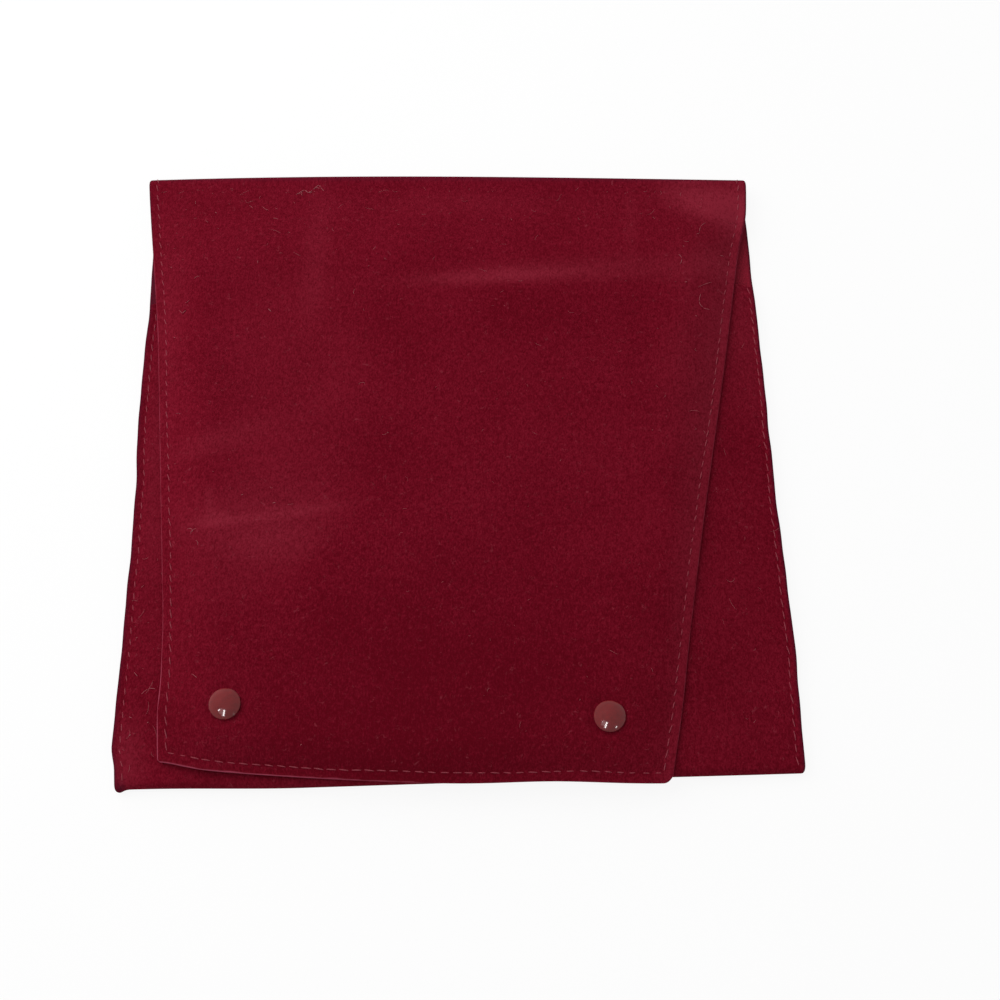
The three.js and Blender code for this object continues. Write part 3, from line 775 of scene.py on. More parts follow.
def stitches(surface, column, run, offset, slant, sizes, seed):
    """A row of stitches along a line on a face of the cloth: each a two-ply thread that dips in at its ends.

    The line is divided into whole stitches. A stitch's middle line is straight, slanted from the row, and
    falls as the third power of the distance from its middle. Its round section swells twice round and
    turns along the stitch, as two twisted plies do, and thins to its ends.
    """
    points = surface(column, run, offset)
    out_of_face = surface(column, run, offset + (MM if offset > 0.0 else -MM)) - points
    along = np.concatenate([[0.0], np.cumsum(np.linalg.norm(np.diff(points, axis=0), axis=1))])
    count = int(round(along[-1] / sizes.stitch_pitch))
    pitch = along[-1] / count
    draw = np.random.default_rng(seed)
    middle_at = (np.arange(count) + 0.5 + draw.normal(0.0, STITCH_PLACE_SPREAD, count)) * pitch

    def on_line(values, place):
        """Values that go with the line's points, read at places along it."""
        return np.stack([np.interp(place, along, axis) for axis in values.T], -1)

    forward = unit(on_line(points, middle_at + pitch / 3) - on_line(points, middle_at - pitch / 3))
    aside = unit(np.cross(on_line(out_of_face, middle_at), forward))
    above = np.cross(forward, aside)
    lean = draw.normal(slant, STITCH_LEAN_SPREAD, (count, 1))
    forward, aside = forward - lean * aside, aside + lean * forward

    place = np.linspace(-1.0, 1.0, STITCH_STEPS)[:, None]
    turn = np.linspace(0.0, 2.0 * np.pi, STITCH_SIDES, endpoint=False)
    half = sizes.stitch_show * pitch / 2
    sunk = draw.uniform(0.0, STITCH_SUNK_MOST, (count, 1, 1)) * sizes.thread_diameter
    lift = sizes.thread_diameter * (STITCH_RISE - STITCH_DIP * np.abs(place) ** 3)
    plies = 1.0 + PLY_DEPTH * np.cos(2.0 * (turn - PLY_TWIST * place))
    out = sizes.thread_diameter / 2 * (1.0 - STITCH_END_THINNING * place**4) * plies
    local = np.stack(np.broadcast_arrays(half * place, out * np.cos(turn), lift + out * np.sin(turn)), -1)
    stretch = draw.uniform(STITCH_SHORTEST, 1.0, (count, 1))
    axes = np.stack([forward * stretch, aside, above], 1)
    middle = on_line(points, middle_at)[:, None, None] - sunk[..., None] * above[:, None, None]
    return middle + np.einsum("psk,nkd->npsd", local, axes)


def unit(vectors):
    """Vectors of length 1 in the same directions."""
    return vectors / np.linalg.norm(vectors, axis=-1, keepdims=True)


def tube_faces(tubes, steps, sides):
    """Faces of many tubes of rings: quads between the rings and one cap at each end."""
    index = np.arange(tubes * steps * sides).reshape(tubes, steps, sides)
    index = np.concatenate([index, index[..., :1]], -1)
    corners = (index[:, :-1, :-1], index[:, :-1, 1:], index[:, 1:, 1:], index[:, 1:, :-1])
    quads = np.stack(corners, -1).reshape(-1, 4).tolist()
    return quads + index[:, 0, -1:0:-1].tolist() + index[:, -1, :-1].tolist()


def tube_piece(name, tubes, material):
    """One mesh of many tubes, given as rings of points."""
    return make_piece(name, tubes, tube_faces(*tubes.shape[:3]), material)


def loose_fibres(across, down, draw):
    """Rows of a fibre's place, length, heading, total bend and thickness, drawn at random."""
    count = len(across)
    long = np.clip(draw.exponential(LINT_LENGTH_MEAN, count), *LINT_LENGTHS)
    heading = draw.uniform(0.0, 2.0 * np.pi, count)
    bend = draw.normal(0.0, LINT_BEND_SPREAD, count)
    return np.stack([across, down, long, heading, bend, draw.uniform(*LINT_THICKNESSES, count)], 1)


def fibre_lines(fibres):
    """Places along fibres that turn evenly from end to end: sums of equal steps in the turning direction."""
    across, down, long, heading, bend, thick = fibres.T[..., None]
    turn = heading + bend * np.linspace(-0.5, 0.5, LINT_STEPS)
    step = long / LINT_STEPS
    return across + np.cumsum(step * np.cos(turn), 1), down + np.cumsum(step * np.sin(turn), 1), thick


def threads(points, thick):
    """Rings of thin threads along lines of points: circles across each line that shrink at its ends."""
    forward = unit(np.gradient(points, axis=1))
    aside = unit(np.cross([0.0, 0.0, 1.0], forward))[:, :, None]
    above = np.cross(forward[:, :, None], aside)
    turn = np.linspace(0.0, 2.0 * np.pi, LINT_SIDES, endpoint=False)[:, None]
    slim = 1.0 - 0.7 * np.linspace(-1.0, 1.0, points.shape[1]) ** 4
    radius = (thick / 2 * slim)[..., None, None]
    return points[:, :, None] + radius * (aside * np.cos(turn) + above * np.sin(turn))


def soften(profile, radius, steps=4):
    """A profile whose inner corners are cut by curves that start radius, or nearly half a side, away."""
    corner, before, after = profile[1:-1], profile[:-2], profile[2:]
    back = np.linalg.norm(before - corner, axis=1, keepdims=True)
    ahead = np.linalg.norm(after - corner, axis=1, keepdims=True)
    start = between(corner, before, np.minimum(radius / back, 0.48))[:, None]
    end = between(corner, after, np.minimum(radius / ahead, 0.48))[:, None]
    share = np.linspace(0.0, 1.0, steps)[None, :, None]
    curves = between(between(start, corner[:, None], share), between(corner[:, None], end, share), share)
    return np.concatenate([profile[:1], curves.reshape(-1, 2), profile[-1:]])


def turned_piece(name, profile, centre, material):
    """A piece turned about an upright axis from a profile of radii and heights, bottom to top outside.

    A profile that starts and ends on the axis makes a solid with a pole at each end; any other is a loop
    and makes a ring.
    """
    profile = np.array(profile)
    solid = profile[0, 0] == 0.0
    rings = profile[1:-1] if solid else profile
    turn = np.linspace(0.0, 2.0 * np.pi, TURNED_SIDES, endpoint=False)
    x = centre[0] + rings[:, :1] * np.cos(turn)
    y = centre[1] + rings[:, :1] * np.sin(turn)
    points = np.stack(np.broadcast_arrays(x, y, rings[:, 1:]), -1).reshape(-1, 3)
    index = np.arange(len(points)).reshape(-1, TURNED_SIDES)
    index = np.concatenate([index, index[:, :1]], 1)
    if not solid:
        faces = grid_quads(np.concatenate([index, index[:1]]))[:, ::-1]
        return make_piece(name, points, faces.tolist(), material)
    low, high = np.full((2, TURNED_SIDES), [[len(points)], [len(points) + 1]])
    bottom = np.stack([low, index[0, 1:], index[0, :-1]], 1)
    top = np.stack([high, index[-1, :-1], index[-1, 1:]], 1)
    faces = grid_quads(index)[:, ::-1].tolist() + bottom.tolist() + top.tolist()
    poles = [[*centre, height] for height in profile[[0, -1], 1]]
    return make_piece(name, np.concatenate([points, poles]), faces, material)


def turned_loop(profile, radius):
    """A closed profile with every corner softened."""
    profile = np.array(profile)
    return soften(np.concatenate([profile[-1:], profile, profile[:1]]), radius)[1:-1]


def set_inputs(tree, node, inputs):
    """Sets a node's inputs, each to a plain value or to another node's output."""
    for key, value in inputs.items():
        if isinstance(value, bpy.types.NodeSocket):
            tree.links.new(value, node.inputs[key])
        else:
            node.inputs[key].default_value = value


def add_node(tree, kind, inputs, **settings):
    """A new node with its inputs and settings."""
    node = tree.nodes.new(kind)
    for key, value in settings.items():
        setattr(node, key, value)
    set_inputs(tree, node, inputs)
    return node


def calculate(tree, operation, first, second=0.0, third=0.0):
    """The result of a Math node."""
    inputs = {0: first, 1: second, 2: third}
    return add_node(tree, "ShaderNodeMath", inputs, operation=operation).outputs[0]


def weighted_sum(tree, parts, start=0.0):
    """Start plus each value times its share."""
    for value, share in parts:
        start = calculate(tree, "MULTIPLY_ADD", value, share, start)
    return start


def mix_colours(tree, share, first, second):
    """The colour that share of the way from first to second."""
    inputs = {0: share, 6: first, 7: second}
    return add_node(tree, "ShaderNodeMix", inputs, data_type="RGBA", clamp_factor=True).outputs[2]


def ramp(tree, value, stops):
    """A colour read off a scale of (place, colour) stops."""
    node = add_node(tree, "ShaderNodeValToRGB", {"Fac": value})
    scale = node.color_ramp.elements
    while len(scale) < len(stops):
        scale.new(0.5)
    for stop, (place, shade) in zip(scale, stops):
        stop.position = place
        stop.color = shade
    return node.outputs["Color"]


def noise(tree, place, size, detail=2.0, roughness=0.5, distortion=0.0):
    """Cloudy values of about 0 to 1 whose clouds are about size across."""
    inputs = {
        "Vector": place, "Scale": 1.0 / size,
        "Detail": detail, "Roughness": roughness, "Distortion": distortion,
    }
    return add_node(tree, "ShaderNodeTexNoise", inputs).outputs["Fac"]


def remap(tree, value, low, high, new_low=0.0, new_high=1.0):
    """The value moved from the span low to high to the span new_low to new_high, and held there."""
    inputs = {"Value": value, "From Min": low, "From Max": high, "To Min": new_low, "To Max": new_high}
    return add_node(tree, "ShaderNodeMapRange", inputs).outputs["Result"]


def cloth_place(tree):
    """The place on the flat cloth, in metres."""
    return add_node(tree, "ShaderNodeUVMap", {}, uv_map=CLOTH_MAP).outputs["UV"]


def object_place(tree):
    """The place in the piece's own frame, in metres."""
    return add_node(tree, "ShaderNodeTexCoord", {}).outputs["Object"]


def share_of(tree, name):
    """The number that a piece stores for each vertex under a name."""
    return add_node(tree, "ShaderNodeAttribute", {}, attribute_name=name).outputs["Fac"]


def new_finish(name):
    """An empty material with its node tree and a Principled shader joined to the output."""
    material = bpy.data.materials.new(name + "_finish")
    material.use_nodes = True
    tree = material.node_tree
    return material, tree, tree.nodes["Principled BSDF"]


def set_shader(tree, shader, inputs, height=None, bump_strength=0.0, bump_depth=0.0):
    """Sets a shader's inputs, and bumps its surface by a height where one is given."""
    set_inputs(tree, shader, inputs)
    if height is not None:
        bump = {"Strength": bump_strength, "Distance": bump_depth, "Height": height}
        set_inputs(tree, shader, {"Normal": add_node(tree, "ShaderNodeBump", bump).outputs["Normal"]})


def velvet_finish(colours):
    """Short pile: tufts and grain in three shades, brushed patches, stray fibres and pale cut edges, with
    painted light and shade in patches and along the edges.
    """
    material, tree, shader = new_finish("velvet")
    cloth = cloth_place(tree)
    laid = add_node(tree, "ShaderNodeMapping", {"Vector": cloth, "Scale": (1.0, 0.6, 1.0)}).outputs["Vector"]
    tuft = noise(tree, laid, 1.3 * MM, detail=5.0, roughness=0.7, distortion=0.5)
    grain = noise(tree, laid, 0.56 * MM, detail=3.0, roughness=0.7)
    lay = noise(tree, cloth, 26 * MM, detail=3.0)
    # Nap: brushed patches with painted light and painted shade among them; above 0 it mixes in the brushed
    # colour, below 0 it shifts the tone darker
    nap_and_painted_light = share_of(tree, "nap_and_painted_light")
    darker = calculate(tree, "MINIMUM", nap_and_painted_light, 0.0)
    tone = weighted_sum(tree, ((grain, 0.47), (tuft, 0.36), (lay, 0.11), (darker, 0.06)), start=0.03)
    shade = ramp(tree, tone, [(0.42, colours.pile_deep), (0.50, colours.pile), (0.59, colours.pile_tip)])
    patchy = remap(tree, tone, 0.42, 0.58, 0.35, 1.0)
    shade = mix_colours(tree, calculate(tree, "MULTIPLY", nap_and_painted_light, patchy), shade, colours.pile_brushed_and_lit)
    winding = noise(tree, cloth, 4.5 * MM, detail=1.0, distortion=2.5)
    winding = calculate(tree, "SUBTRACT", winding, 0.5)
    hair = remap(tree, calculate(tree, "ABSOLUTE", winding), 0.006, 0.026, 1.0, 0.0)
    sparse = remap(tree, noise(tree, cloth, 2.6 * MM, detail=1.0), 0.58, 0.70)
    stray = calculate(tree, "MULTIPLY", hair, sparse)
    shade = mix_colours(tree, calculate(tree, "MULTIPLY", stray, 0.32), shade, colours.fibre)
    # Painted shade along the rolled side edges, the top fold's crest and the nub at the bottom left corner
    shaded = calculate(tree, "MULTIPLY", share_of(tree, "shaded"), remap(tree, tone, 0.42, 0.58, 1.0, 0.7))
    shade = mix_colours(tree, shaded, shade, colours.painted_edge_shade)
    # Pale cut edges: the raw backing, with painted highlight along the flap's lit left edge
    shade = mix_colours(tree, share_of(tree, "cut"), shade, colours.cut_edge_and_highlight)

    inputs = {
        "Base Color": shade,
        "Roughness": remap(tree, tone, 0.35, 0.65, 1.0, 0.85), "Specular IOR Level": 0.02,
        "Sheen Weight": 0.06, "Sheen Roughness": 0.4, "Sheen Tint": (0.85, 0.12, 0.20, 1.0),
    }
    height = weighted_sum(tree, ((grain, 0.4), (tuft, 0.6)))
    set_shader(tree, shader, inputs, height, bump_strength=0.48, bump_depth=0.4 * MM)
    return material


def lining_finish(colours):
    """Plain weave: rounded warp and weft yarns that pass over each other in turn, a little uneven."""
    material, tree, shader = new_finish("lining")
    cloth = cloth_place(tree)
    yarn = 0.55 * MM
    # A wave texture of scale 1 repeats every twentieth of 2 pi
    bands = {
        "Vector": cloth, "Scale": 2 * np.pi / (20 * yarn),
        "Distortion": 0.4, "Detail": 1.0, "Detail Scale": 0.3,
    }
    warp = add_node(tree, "ShaderNodeTexWave", bands, bands_direction="X").outputs["Fac"]
    weft = add_node(tree, "ShaderNodeTexWave", bands, bands_direction="Y").outputs["Fac"]
    over = add_node(tree, "ShaderNodeTexChecker", {"Vector": cloth, "Scale": 1.0 / yarn}).outputs["Fac"]
    under = calculate(tree, "SUBTRACT", 1.0, over)
    woven = weighted_sum(tree, ((weft, under), (warp, over)))
    slub = noise(tree, cloth, 9 * MM, detail=3.0, roughness=0.6)
    fuzz = noise(tree, cloth, 0.9 * MM, detail=4.0, roughness=0.65)
    tone = weighted_sum(tree, ((woven, 0.3), (slub, 0.35), (fuzz, 0.35)))
    shade = ramp(tree, tone, [(0.30, colours.lining_deep), (0.66, colours.lining)])
    # Painted shade along the rolled side edges and the top fold's crest, and pale cut edges partly painted as
    # highlight
    shade = mix_colours(tree, share_of(tree, "shaded"), shade, colours.painted_edge_shade)
    shade = mix_colours(tree, share_of(tree, "cut"), shade, colours.cut_edge_and_highlight)
    inputs = {
        "Base Color": shade,
        "Roughness": remap(tree, tone, 0.2, 0.8, 0.85, 0.6), "Specular IOR Level": 0.04,
    }
    set_shader(tree, shader, inputs, woven, bump_strength=0.5, bump_depth=0.15 * MM)
    return material


def spun_finish(name, bright, deep):
    """Spun fibre: fine streaks between two shades."""
    material, tree, shader = new_finish(name)
    streak = noise(tree, object_place(tree), 0.25 * MM, detail=3.0, roughness=0.6, distortion=0.8)
    inputs = {
        "Base Color": ramp(tree, streak, [(0.30, deep), (0.62, bright)]),
        "Roughness": remap(tree, streak, 0.3, 0.7, 0.75, 0.5), "Specular IOR Level": 0.08,
    }
    set_shader(tree, shader, inputs, streak, bump_strength=0.4, bump_depth=0.06 * MM)
    return material


def thread_finish(colours):
    """Sewing thread, darker between its plies."""
    return spun_finish("thread", colours.thread, colours.thread_deep)


def lint_finish(colours):
    """Loose fibres, as pale as dust or as dark as the pile's own fibres."""
    return spun_finish("lint", colours.lint, colours.fibre)


def enamel_finish(colours):
    """Baked enamel: a deep glossy coat with a faint orange peel and rubbed spots."""
    material, tree, shader = new_finish("enamel")
    place = object_place(tree)
    peel = noise(tree, place, 0.9 * MM)
    rub = noise(tree, place, 2.2 * MM, detail=4.0, roughness=0.65)
    deep = tuple(0.8 * part for part in colours.enamel[:3]) + (1.0,)
    inputs = {
        "Base Color": ramp(tree, rub, [(0.35, deep), (0.65, colours.enamel)]),
        "Roughness": remap(tree, rub, 0.35, 0.7, 0.09, 0.16), "Specular IOR Level": 0.28,
    }
    set_shader(tree, shader, inputs, peel, bump_strength=0.03, bump_depth=0.1 * MM)
    return material


def brass_finish(colours):
    """Stamped brass: tarnish in patches, rougher there, over a fine grain."""
    material, tree, shader = new_finish("brass")
    place = object_place(tree)
    tarnish = noise(tree, place, 1.8 * MM, detail=4.0, roughness=0.6)
    grain = noise(tree, place, 0.15 * MM)
    inputs = {
        "Base Color": ramp(tree, tarnish, [(0.35, colours.brass_worn), (0.60, colours.brass)]),
        "Metallic": 1.0, "Roughness": remap(tree, tarnish, 0.3, 0.7, 0.42, 0.24),
    }
    set_shader(tree, shader, inputs, grain, bump_strength=0.15, bump_depth=0.02 * MM)
    return material


FINISHES = {
    "velvet": velvet_finish,
    "lining": lining_finish,
    "thread": thread_finish,
    "lint": lint_finish,
    "enamel": enamel_finish,
    "brass": brass_finish,
}


def finish(context, name):
    """The finish of that name, made when it is first asked for."""
    return bpy.data.materials.get(name + "_finish") or FINISHES[name](context.scene.pouch_colours)


class POUCH_OT_body_cloth(bpy.types.Operator):
    """Make the velvet and lining of the pocket: front panel, bottom fold and back panel"""

    bl_idname = "pouch.body_cloth"
    bl_label = "Body cloth"

    def execute(self, context):
        sizes = context.scene.pouch_sizes
        shape = PouchShape(sizes)
        # Edge shade gives the widths, left and right, of painted shade along the rolled side edges
        for name, node, span, step, edge_shade in (
            ("pouch_velvet", "body_velvet", shape.velvet, BODY_STEP, (1.6 * MM, 1.5 * MM)),
            ("pouch_lining", "body_lining", shape.lining, LINING_STEP, (4.6 * MM, 1.3 * MM)),
        ):
            slot = node.split("_")[1]
            grid, fullness, places = body_grid(shape, step)
            piece = cloth_piece(name, shape.body_surface, grid, span, fullness, places, finish(context, slot))
            from_side = shape.half - np.abs(grid[0])
            down = sizes.mouth_drop + places[..., 1]
            set_shares(piece, "nap_and_painted_light", with_back(brushed(grid[0], down, FRONT_NAP_AND_PAINTED_LIGHT)))
            # Painted shade at the nub of the bottom left corner and along the rolled side edges
            nub_shade = bell(grid[0], 1.6 * MM - shape.half, 2 * MM) * bell(down, sizes.body_length, 4 * MM)
            reach = np.where(grid[0] < 0, *edge_shade)
            side_shade = 0.85 * (1.0 - ease(from_side, 0.15 * reach, reach))
            set_shares(piece, "shaded", with_back(np.maximum(nub_shade, side_shade)))
            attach(piece, "pouch")
            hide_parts(node)
        return {"FINISHED"}


class POUCH_OT_flap_cloth(bpy.types.Operator):
    """Make the velvet and lining of the top fold and the flap"""

    bl_idname = "pouch.flap_cloth"
    bl_label = "Flap cloth"

    def execute(self, context):
        sizes = context.scene.pouch_sizes
        shape = PouchShape(sizes)
        for name, node, span, step, turn in (
            ("flap_velvet_cloth", "flap_velvet", shape.velvet, FLAP_STEP, shape.fold_inner),
            ("flap_lining_cloth", "flap_lining", shape.lining, LINING_STEP, sizes.lining_turn),
        ):
            slot = node.split("_")[1]
            grid, fullness, places = flap_grid(shape, step)
            piece = cloth_piece(name, shape.flap_surface, grid, span, fullness, places, finish(context, slot))
            laid = np.clip(grid[1] - 1.0, 0.0, None)
            across, down = shape.flap_place(grid[0], laid)
            from_side = shape.half - np.abs(grid[0])
            over_body = ease(laid, 15 * MM, 35 * MM)
            # Pale cut edges: the raw backing, with painted highlight along the lit left edge
            cut = self.bare_edge_and_highlight(across, down, np.minimum(from_side, shape.flap_run - laid))
            set_shares(piece, "cut", with_back(cut * over_body))
            # Painted shade along the top fold's crest and along the flap's side edges near the fold
            crest = 0.7 * ease(grid[1], 0.55, 0.70) * (1.0 - ease(grid[1], 0.76, 0.96))
            side_shade = 0.8 * (1.0 - ease(from_side, 0.2 * MM, 1.0 * MM)) * (1.0 - over_body)
            set_shares(piece, "shaded", with_back(np.maximum(crest, side_shade)))
            # Painted light: the right margin, which droops away from the key light, is lightened
            rubbed = 0.5 * (1.0 - ease(from_side, 0.8 * MM, 10 * MM)) * (across > 0)
            set_shares(piece, "nap_and_painted_light", with_back(brushed(across, down, FLAP_NAP_AND_PAINTED_LIGHT) + rubbed))
            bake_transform(piece)
            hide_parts(node, "top_fold_" + slot)
        return {"FINISHED"}

    def bare_edge_and_highlight(self, across, down, from_edge):
        """How pale the cut edges are: the raw backing in a frayed rim, full at the tip's left and else in
        traces, and wider on the left as painted highlight.
        """
        frayed = 0.75 + 0.35 * ripple(down, across, 9 * MM, seed=17)
        at_tip = ease(down, 205 * MM, 214 * MM) * (1.0 - ease(across, -75 * MM, -30 * MM))
        rim = frayed * between(0.26 * MM, 0.55 * MM, np.maximum(at_tip, 0.8 * (across < 0)))
        traces = 0.34 + 0.18 * ripple(down, across, 3.5 * MM, seed=19)
        full = (1.0 - ease(across, -50 * MM, 10 * MM)) * ease(down, 165 * MM, 205 * MM)
        return between(traces, 1.0, full) * (1.0 - ease(from_edge, 0.4 * rim, rim))


class POUCH_OT_stitching(bpy.types.Operator):
    """Make the topstitching of the flap, the side seams and the mouth's hem"""

    bl_idname = "pouch.stitching"
    bl_label = "Stitching"

    def execute(self, context):
        sizes = context.scene.pouch_sizes
        shape = PouchShape(sizes)
        thread = finish(context, "thread")
        share = np.linspace(0.0, 1.0, STITCH_LINE_POINTS)

        side = shape.half - sizes.flap_stitch_inset
        end = shape.flap_run - sizes.flap_stitch_inset
        fold = np.linspace(TOPSTITCH_START, 1.0, BEND_STEPS, endpoint=False)
        under = 1.0 + share * end
        across = between(-side, side, share)
        tip = (across, 1.0 + end + TIP_ROW_WANDER * ripple(across, 0.0 * share, 50 * MM, seed=41))
        rows = []
        for face, down in ((shape.stack, np.concatenate([fold, under])), (0.0, under)):
            wander = SIDE_ROW_WANDER * ripple(down, 0.0 * down, 45 * MM, seed=43)
            lines = ((wander - side, down), tip, (side - wander, down))
            for seed, (line, slant) in enumerate(zip(lines, FLAP_STITCH_SLANTS)):
                rows.append(stitches(shape.flap_surface, *line, face, slant, sizes, seed))
        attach(self.sew("flap_stitches", rows, thread, "flap_topstitch"), "flap")

        sewn = 1.0 - sizes.mouth_drop / sizes.body_length
        for seed, (name, sign) in enumerate(zip(SIDES, (-1, 1))):
            drift = RIGHT_SEAM_DRIFT * (1.0 - ease(share, 0.2, 0.8)) * (sign > 0)
            column = sign * (shape.half - sizes.seam_inset + drift)
            front = (column, share, shape.stack)
            back = (column[::-1], 2.0 + sewn * share, shape.stack - BACK_SEAM_SINK)
            rows = [
                stitches(shape.body_surface, *row, SEAM_STITCH_SLANT, sizes, 10 + seed)
                for row in (front, back)
            ]
            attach(self.sew(name + "_seam_stitches", rows, thread, name + "_seam_thread"), "pouch")

        column = between(-1.0, 1.0, share) * (shape.half - 8 * sizes.seam_inset)
        run = np.full_like(share, sizes.hem_inset / shape.front_run)
        rows = [stitches(shape.body_surface, column, run, shape.stack, HEM_STITCH_SLANT, sizes, 20)]
        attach(self.sew("mouth_stitches", rows, thread, "mouth_hem_thread"), "pouch")
        return {"FINISHED"}

    def sew(self, name, rows, thread, node):
        """One piece of all the stitches of the rows, in place of a node."""
        piece = tube_piece(name, np.concatenate(rows), thread)
        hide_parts(node)
        return piece


class POUCH_OT_caps(bpy.types.Operator):
    """Make the domed enamel caps on the flap's face, each with its post"""

    bl_idname = "pouch.caps"
    bl_label = "Caps"

    def execute(self, context):
        sizes = context.scene.pouch_sizes
        shape = PouchShape(sizes)
        for side, centre in zip(SIDES, shape.snaps):
            low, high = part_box(side + "_cap")
            radius = (high.x - low.x) / 2
            seat = shape.flap_top
            rim = seat + sizes.cap_rim
            ball = (radius**2 + (high.z - rim) ** 2) / (2 * (high.z - rim))
            out = radius * np.sin(np.linspace(np.pi / 2, 0.0, DOME_STEPS))
            dome = np.stack([out, high.z - ball + np.sqrt(ball**2 - out**2)], 1)
            post = 0.3 * radius
            bevel = 0.2 * MM
            foot = np.array([
                [0.0, low.z], [post, low.z], [post, seat],
                [radius - bevel, seat], [radius, seat + bevel], dome[0],
            ])
            profile = np.concatenate([soften(foot, sizes.metal_edge), dome[1:]])
            piece = turned_piece(side + "_cap_dome", profile, centre, finish(context, "enamel"))
            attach(piece, "flap")
            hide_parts(side + "_cap")
        return {"FINISHED"}


class POUCH_OT_stud_brass(bpy.types.Operator):
    """Make the brass of the press studs: sockets and springs under the flap, studs and posts on the pocket"""

    bl_idname = "pouch.stud_brass"
    bl_label = "Stud brass"

    def execute(self, context):
        sizes = context.scene.pouch_sizes
        shape = PouchShape(sizes)
        brass = finish(context, "brass")
        for side, centre in zip(SIDES, shape.snaps):
            pieces = (
                (self.socket(side, centre, sizes, brass), "flap", "_socket"),
                (self.spring(side, centre, brass), "flap", "_socket_spring"),
                (self.stud(side, centre, sizes, brass), "pouch", "_stud"),
                (self.post(side, centre, sizes, brass), "pouch", "_stud_post"),
            )
            for piece, body, node in pieces:
                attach(piece, body)
                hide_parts(side + node)
        return {"FINISHED"}

    def socket(self, side, centre, sizes, brass):
        """A cup with a rolled rim, a raised ring, a mouth for the stud and a slot for the spring."""
        low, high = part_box(side + "_socket")
        radius = (high.x - low.x) / 2
        mouth, slot, eye = 2.1 * MM, 2.85 * MM, 1.65 * MM
        rim = low.z + 0.25 * MM
        floor = low.z + 0.4 * MM
        slot_top = low.z + 1.2 * MM
        roof = low.z + 1.5 * MM
        profile = [
            (mouth, rim), (mouth + 0.3 * MM, low.z), (3.2 * MM, low.z), (3.5 * MM, floor),
            (radius - 0.5 * MM, floor), (radius - 0.3 * MM, rim), (radius, rim), (radius, high.z),
            (eye, high.z), (eye, roof), (mouth, roof), (mouth, slot_top),
            (slot, slot_top), (slot, floor), (mouth, floor),
        ]
        return turned_piece(side + "_socket_cup", turned_loop(profile, sizes.metal_edge), centre, brass)

    def spring(self, side, centre, brass):
        """A split ring of round wire: a small circle carried round a large one, open by a sixth of a turn."""
        low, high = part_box(side + "_socket_spring")
        wire = (high.z - low.z) / 2
        ring = (high.y - low.y) / 2 - wire
        turn = np.linspace(radians(25), radians(335), SPRING_STEPS)[:, None]
        around = np.linspace(0.0, 2.0 * np.pi, SPRING_SIDES, endpoint=False)
        out = ring + wire * np.cos(around)
        height = (low.z + high.z) / 2 - wire * np.sin(around)
        x, y = centre[0] + out * np.cos(turn), centre[1] + out * np.sin(turn)
        points = np.stack(np.broadcast_arrays(x, y, height), -1)[None]
        return tube_piece(side + "_spring_wire", points, brass)

    def stud(self, side, centre, sizes, brass):
        """A flange with a raised ring, a necked head that the spring grips, and a bore for the post."""
        low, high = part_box(side + "_stud")
        radius = (high.x - low.x) / 2
        bore, neck, head = 1.15 * MM, 1.55 * MM, 1.95 * MM
        flange = low.z + 0.7 * MM
        hollow = flange - 0.15 * MM
        profile = [
            (bore, low.z), (radius, low.z), (radius, low.z + 0.3 * MM), (radius - 0.3 * MM, flange),
            (radius - 0.9 * MM, flange), (radius - 1.2 * MM, hollow), (neck + 0.4 * MM, hollow),
            (neck, flange + 0.2 * MM), (neck, high.z - 0.6 * MM), (head, high.z - 0.2 * MM),
            (between(bore, head, 0.6), high.z), (bore, high.z),
        ]
        return turned_piece(side + "_stud_base", turned_loop(profile, sizes.metal_edge), centre, brass)

    def post(self, side, centre, sizes, brass):
        """A flat flange inside the pocket with a shank up through the cloth into the stud."""
        low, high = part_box(side + "_stud_post")
        radius = (high.x - low.x) / 2
        shank = 1.0 * MM
        dish = low.z + 0.15 * MM
        top = low.z + 0.6 * MM
        profile = np.array([
            (0.0, dish), (1.4 * MM, dish), (1.8 * MM, low.z), (radius - 0.5 * MM, low.z),
            (radius, low.z + 0.3 * MM), (radius, top), (shank, top), (shank, high.z), (0.0, high.z),
        ])
        return turned_piece(side + "_post_rivet", soften(profile, sizes.metal_edge), centre, brass)


class POUCH_OT_lint(bpy.types.Operator):
    """Make the loose fibres that lie on the pile"""

    bl_idname = "pouch.lint"
    bl_label = "Lint"

    def execute(self, context):
        shape = PouchShape(context.scene.pouch_sizes)
        lint = finish(context, "lint")
        draw = np.random.default_rng(31)
        across = draw.uniform(-103 * MM, 98 * MM, FLAP_LINT_COUNT)
        share = draw.uniform(0.0, 1.0, FLAP_LINT_COUNT) ** LINT_CROWDING
        down = between(6 * MM, 214 * MM, share)
        clear = shape.from_stud(*shape.flap_plan(across, down)) > LINT_FROM_CAP
        keep = clear & (np.abs(across) < shape.flap_half(across, down) - LINT_FROM_EDGE)
        fibres = loose_fibres(across[keep], down[keep], draw)
        across, down, thick = fibre_lines(np.concatenate([fibres, np.array(FLAP_LINT) * LINT_UNITS]))
        column = across * shape.half / shape.flap_half(across, down)
        points = shape.flap_surface(column, 1.0 + down - shape.fold_radius, shape.stack + 0.6 * thick)
        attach(tube_piece("flap_lint", threads(points, thick), lint), "flap")

        left, right = FRONT_LINT_COUNTS
        strips = (draw.uniform(-107 * MM, -78 * MM, left), draw.uniform(82 * MM, 107 * MM, right))
        down = draw.uniform(60 * MM, 212 * MM, left + right)
        fibres = loose_fibres(np.concatenate(strips), down, draw)
        across, down, thick = fibre_lines(np.concatenate([fibres, np.array(FRONT_LINT) * LINT_UNITS]))
        run = (down - context.scene.pouch_sizes.mouth_drop) / shape.front_run
        points = shape.body_surface(across, np.clip(run, 0.0, 1.0), shape.stack + 0.6 * thick)
        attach(tube_piece("pouch_lint", threads(points, thick), lint), "pouch")
        return {"FINISHED"}


